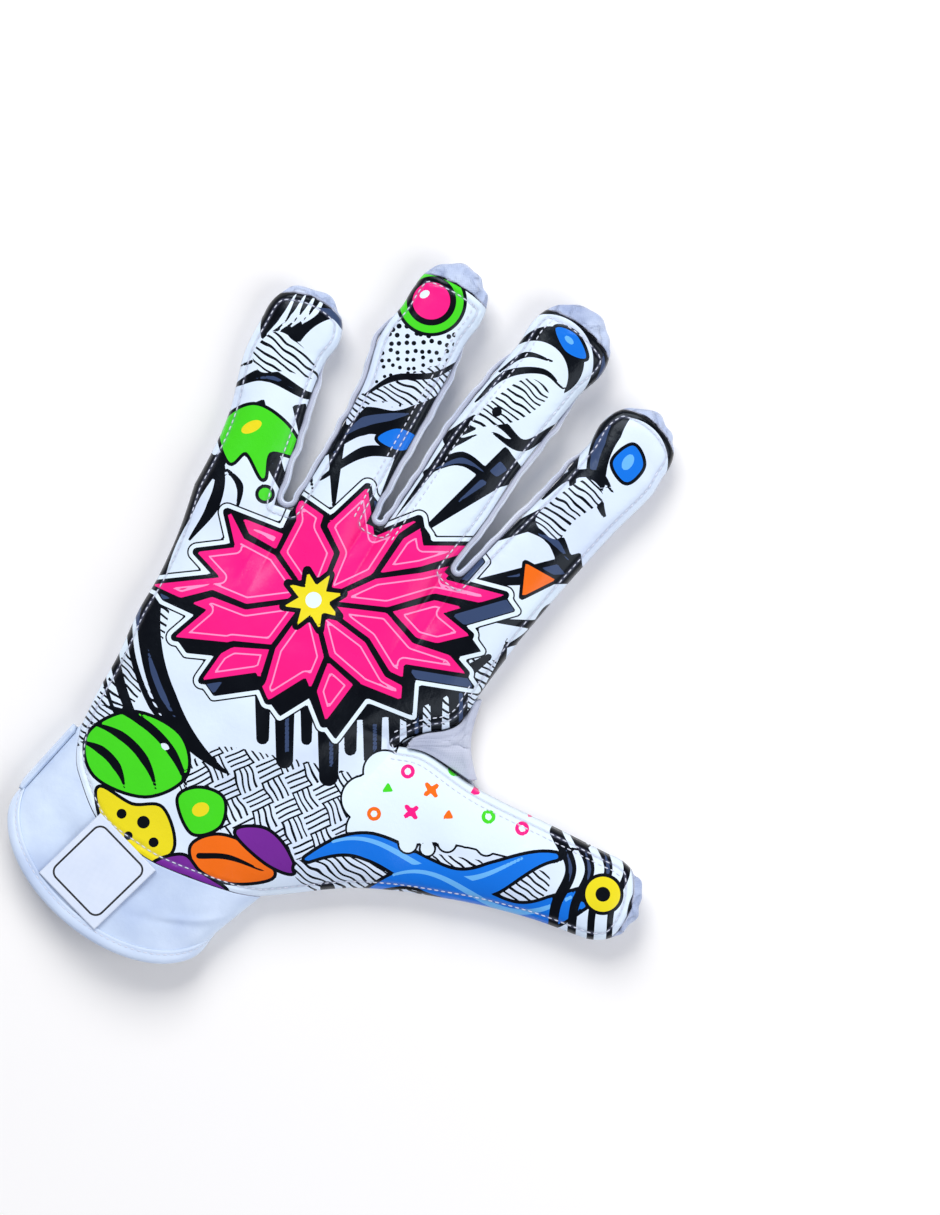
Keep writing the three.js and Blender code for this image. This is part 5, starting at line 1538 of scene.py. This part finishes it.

# %% [markdown]
# ### The printed cloth
# The palm is cloth under a thin clear coat, so it shines a little over a matt print. The ink areas come from the
# stored distances, and the basket lines, dots and hatching from formulas: stripes are the remainder of a length by
# the pitch, and the basket turns its stripes by a right angle in every second square. The white ground has soft
# patches of painted lavender shade, and painted shade darkens the groove of the stitches. Fine grain and creases in
# the coat break up its reflections.

# %% The printed cloth's material
INK_COLOURS = {"foam": WHITE, "pink": linear(255, 28, 132), "green": linear(72, 220, 30),
               "yellow": linear(240, 222, 30), "orange": linear(248, 112, 20), "purple": linear(120, 42, 150),
               "blue": linear(20, 118, 226), "sky": linear(110, 185, 245), "white": WHITE,
               "slate": linear(58, 74, 108)}
# The second colour is a grey of painted shade, laid along the groove of the stitches.
ROSE, GROOVE_SHADE = linear(255, 150, 200), linear(120, 124, 150)
BASKET_COS, BASKET_SIN, BASKET_SQUARE, BASKET_PITCH, BASKET_SHARE = 0.906, 0.423, 6.6, 1.65, 0.34
HATCH_PITCH, HATCH_SHARE, DOT_SCALE, DOT_JITTER = 1.9, 0.33, 0.42, 0.55


def stripes(shader, value, pitch, share):
    """1 on stripes that take up a share of each pitch."""
    return shader.below(shader.math("FLOORED_MODULO", value, pitch), pitch * share)


def printed_patterns(s, colour):
    """The basket lines, the hatching and the dots, which grow along the finger, in black on a colour."""
    u, v = s.field("print_u"), s.field("print_v")
    wobble = s.math("MULTIPLY_ADD", s.noise(9.0, 1.0), 3.0, -1.5)
    a, b = s.math("ADD", u, wobble), s.math("ADD", v, wobble)
    turned = [s.total(a, BASKET_COS, b, BASKET_SIN), s.total(b, BASKET_COS, a, -BASKET_SIN)]
    squares = s.math("ADD", *[s.math("FLOOR", s.math("DIVIDE", value, BASKET_SQUARE)) for value in turned])
    basket = s.mix(s.math("FLOORED_MODULO", squares, 2.0),
                   *[stripes(s, value, BASKET_PITCH, BASKET_SHARE) for value in turned])
    hatch = stripes(s, s.total(a, 0.6, b, 0.8), HATCH_PITCH, HATCH_SHARE)
    dots = s.below(s.cells(s.node("CombineXYZ", 0, {0: u, 1: v}), DOT_SCALE, DOT_JITTER),
                   s.spread(v, 118.0, 146.0, 0.16, 0.36))
    for name, lines in (("weave", basket), ("hatch", hatch), ("dots", dots)):
        colour = s.mix(s.times(s.below(s.field(name), 0.0), lines), colour, BLACK)
    return colour


def printed_cloth():
    """The print's colours from the bottom up, with soft patches of painted lavender shade on the white and painted
    shade in the stitches' groove, under a glossy coat with a fine grain.
    """
    s = Shader("printed_cloth", Coat_Weight=0.16, Coat_Roughness=0.18, Specular_IOR_Level=0.15,
               Specular_Tint=(0.55, 0.75, 1.0))
    # Soft patches of painted lavender shade on the white ground.
    colour = s.mix(s.cloudy(28.0, low=0.35), WHITE, linear(220, 232, 252))
    colour = s.layers(printed_patterns(s, colour), [
        *[(name, line, BLACK) for name, line in {"ink": 0.0, **OUTLINED}.items()],
        *[(name, 0.0, INK_COLOURS[name.removesuffix("_spot")]) for name in (*OUTLINED, *SPOTS)],
        ("around", 1.65, BLACK), ("around", 1.2, WHITE), ("around", 0.0, BLACK), ("shade", 0.0, INK_COLOURS["slate"]),
        ("pink", 0.0, INK_COLOURS["pink"]), ("pink", -1.6, ROSE), ("pink", -2.05, INK_COLOURS["pink"]),
        ("core", 1.4, BLACK), ("core", 0.0, INK_COLOURS["yellow"]), ("core_spot", 0.0, WHITE)])
    # Painted shade: the cloth turns towards that grey along the stitch line, where the groove lies.
    seam = s.spread(s.math("ABSOLUTE", s.field("seam")), 0.15, 0.6, 1.0, 0.0)
    grain = s.bump(s.noise(0.35, 2.0), 0.05, 0.5)
    creases = s.bump(s.noise(3.2, 5.0, 0.6), 0.28, 0.5, grain)
    return s.finish(Base_Color=s.mix(s.times(seam, 0.3), colour, GROOVE_SHADE), Normal=creases, Coat_Normal=creases,
                    Roughness=s.cloudy(5.0, 4.0, out_low=0.26, out_high=0.42))


# %% [markdown]
# ### The plain cloths
# Each of the other cloths is a tone with soft patches, a pattern of its own make, and wrinkles in its normal: loops
# for the knit, staggered holes for the mesh, fine grain for the coated cloth of the cuff, and a plain weave for the
# patch. On the smooth cloths of the cuff the soft patches are painted bluish shade, and the back's creases at the
# tips are darkened by painted shade.

# %% Knitted cloth


def knit(name, colour, dark, pitch=0.9, rough=0.62, wrinkle=0.35, creased=""):
    """A fine knit: rows of small loops, from the product of two waves, over soft wrinkles. Where a stored field is 1,
    thin creases run along the middle level of a noise, darkened by painted shade."""
    s = Shader(name, Sheen_Weight=0.3, Sheen_Roughness=0.4)
    loops = s.math("MULTIPLY_ADD", s.woven(pitch, pitch * 0.8), 0.5, 0.5)
    tone = s.mix(s.cloudy(14.0), colour, dark)
    tone = s.mix(s.times(loops, 0.3), tone, dark)
    soft = s.bump(s.noise(4.5, 3.0), wrinkle, 0.6)
    if creased:
        crease = s.spread(s.math("ABSOLUTE", s.math("SUBTRACT", s.noise(8.0, 1.5), 0.5)), 0.0, 0.05)
        crease = s.math("MAXIMUM", crease, s.math("SUBTRACT", 1.0, s.field(creased)))
        # Painted shade: along the creases the tone turns halfway to the dark colour.
        tone = s.mix(s.math("MULTIPLY_ADD", crease, -0.5, 0.5), tone, dark)
        soft = s.bump(crease, wrinkle, 0.6, soft)
    return s.finish(Base_Color=tone, Roughness=s.cloudy(4.0, out_low=rough - 0.08, out_high=rough + 0.1),
                    Normal=s.bump(loops, 0.12, 0.7, soft))


# %% Mesh, coated and woven cloth, and thread


def mesh_cloth(name):
    """The web's open mesh: staggered round holes, darker than the silvery yarn between them."""
    s = Shader(name, Metallic=0.15, Roughness=0.42)
    holes = s.cells(s.place, 0.8, 0.1)
    tone = s.mix(s.cloudy(6.0), linear(206, 216, 230), linear(176, 188, 210))
    tone = s.mix(s.spread(holes, 0.16, 0.34, 1.0, 0.0), tone, linear(104, 112, 132))
    return s.finish(Base_Color=tone, Normal=s.bump(holes, 0.25, 0.7, s.bump(s.noise(3.0, 2.0), 0.5, 0.6)))


def smooth_cloth(name, colour, dark, rough=0.36, crease=0.3):
    """Smooth coated cloth with faint creases, a fine grain and soft patches of painted bluish shade."""
    s = Shader(name, Coat_Weight=0.25, Coat_Roughness=0.25)
    grain = s.bump(s.noise(0.3, 2.0), 0.04, 0.5)
    # The darker, bluer colour laid in soft patches is painted bluish shade.
    return s.finish(Base_Color=s.mix(s.cloudy(22.0, 4.0, 0.35, 0.68), colour, dark),
                    Roughness=s.cloudy(3.0, out_low=rough - 0.05, out_high=rough + 0.12),
                    Normal=s.bump(s.noise(9.0, 4.0, 0.55), crease, 0.6, grain))


PATCH_PITCH = 2 * math.pi / 13


def patch_cloth(name):
    """The blank patch: plain-woven cloth with one thin dark frame line a little inside its edge."""
    s = Shader(name, Roughness=0.6)
    frame_line = s.below(s.math("ABSOLUTE", s.field("frame_line")), 0.3)
    tone = s.mix(s.noise(6.0), linear(230, 238, 250), linear(214, 225, 243))
    return s.finish(Base_Color=s.mix(frame_line, tone, linear(28, 28, 32)),
                    Normal=s.bump(s.woven(PATCH_PITCH, PATCH_PITCH), 0.04, 0.5))


def thread(name):
    """Twisted polyester thread: light grey with a fine, soft grain."""
    s = Shader(name, Sheen_Weight=0.2)
    return s.finish(Base_Color=s.mix(s.noise(2.0), linear(238, 240, 248), linear(196, 202, 220)),
                    Roughness=s.cloudy(0.6, out_low=0.4, out_high=0.6), Normal=s.bump(s.noise(0.18, 1.0), 0.05, 0.6))


# %% A look for every piece
inner = knit("inside_knit", linear(206, 210, 224), linear(176, 182, 202), 0.8, 0.75)
side_cloth = knit("side_knit", linear(246, 250, 255), linear(218, 227, 244), 1.1, 0.5, 0.3)
LOOKS = [
    ([palm], printed_cloth()),
    ([back], knit("back_knit", linear(208, 220, 240), linear(160, 175, 210), wrinkle=0.9, creased="tip")),
    (side_strips, side_cloth),
    ([web], mesh_cloth("web_cloth")),
    # The second colour of each smooth cloth is its painted bluish shade.
    ([band, strap], smooth_cloth("cuff_cloth", linear(216, 231, 249), linear(190, 207, 235), crease=0.55)),
    ([binding], smooth_cloth("binding_cloth", linear(218, 232, 249), linear(192, 208, 234), 0.42, 0.35)),
    ([patch], patch_cloth("patch_cloth")),
    ([front_stitches, binding_stitches], thread("thread")),
]
for pieces, look in LOOKS:
    for piece in pieces:
        piece.data.materials.append(look)
        piece.data.materials.append(inner)
print("materials:", len(bpy.data.materials))

# %% [markdown]
# ## Camera, floor and light
# The photograph looks straight down at a glove that points up to its right, so the camera is turned forty degrees
# about its own axis and hangs far above the middle of the picture. A large soft light from above and a pale floor
# give the even catalogue light with hardly any shadow.

# %% Camera
PICTURE_MIDDLE = np.array([30.66, 101.14, 0.0])
PICTURE_TURN, PICTURE_LONG, CAMERA_HEIGHT, SENSOR = 40.0, 0.3645, 1.5, 36

camera = bpy.data.cameras.new("camera")
camera.lens = SENSOR * CAMERA_HEIGHT / PICTURE_LONG
camera.sensor_width = SENSOR
camera_object = stand("camera", camera)
camera_object.location = (*to_metres(PICTURE_MIDDLE)[:2], CAMERA_HEIGHT)
camera_object.rotation_euler = (0, 0, math.radians(PICTURE_TURN))
bpy.context.scene.camera = camera_object
print("camera:", CAMERA_HEIGHT, "m up, with a lens of", round(camera.lens, 1), "mm")

# %% Lights, floor and sky
FLOOR_HALF, FLOOR_DROP = 3, 0.0002
AIM = (0.03, 0.05, 0)
for name, place, size, power in (("key_light", (-1.0, 0.8, 1.15), 1.0, 23), ("fill_light", (1.1, 0.2, 1.0), 1.2, 12)):
    lamp = bpy.data.lights.new(name, "AREA")
    lamp.size, lamp.energy = size, power
    lamp_object = stand(name, lamp)
    lamp_object.location = place
    lamp_object.rotation_euler = (Vector(AIM) - Vector(place)).to_track_quat("-Z", "Y").to_euler()

floor = bpy.data.meshes.new("floor")
corners = [(-1, -1), (1, -1), (1, 1), (-1, 1)]
floor.from_pydata([(x * FLOOR_HALF, y * FLOOR_HALF, 0) for x, y in corners], [], [(0, 1, 2, 3)])
floor_object = stand("floor", floor)
floor_object.location.z = -FLOOR_DROP
ground = Shader("ground", Roughness=0.9)
ground_tone = ground.mix(ground.noise(300.0), (1.0, 0.975, 0.93), (0.99, 0.965, 0.92))
floor.materials.append(ground.finish(Base_Color=ground_tone))

world = bpy.data.worlds.new("studio")
bpy.context.scene.world = world
world.use_nodes = True
sky = world.node_tree.nodes["Background"]
sky.inputs["Color"].default_value = (0.74, 0.8, 1.0, 1)
sky.inputs["Strength"].default_value = 0.36
bpy.context.scene.view_settings.view_transform = "Standard"
print("lights:", len(bpy.data.lights), "over a floor", 2 * FLOOR_HALF, "m wide")
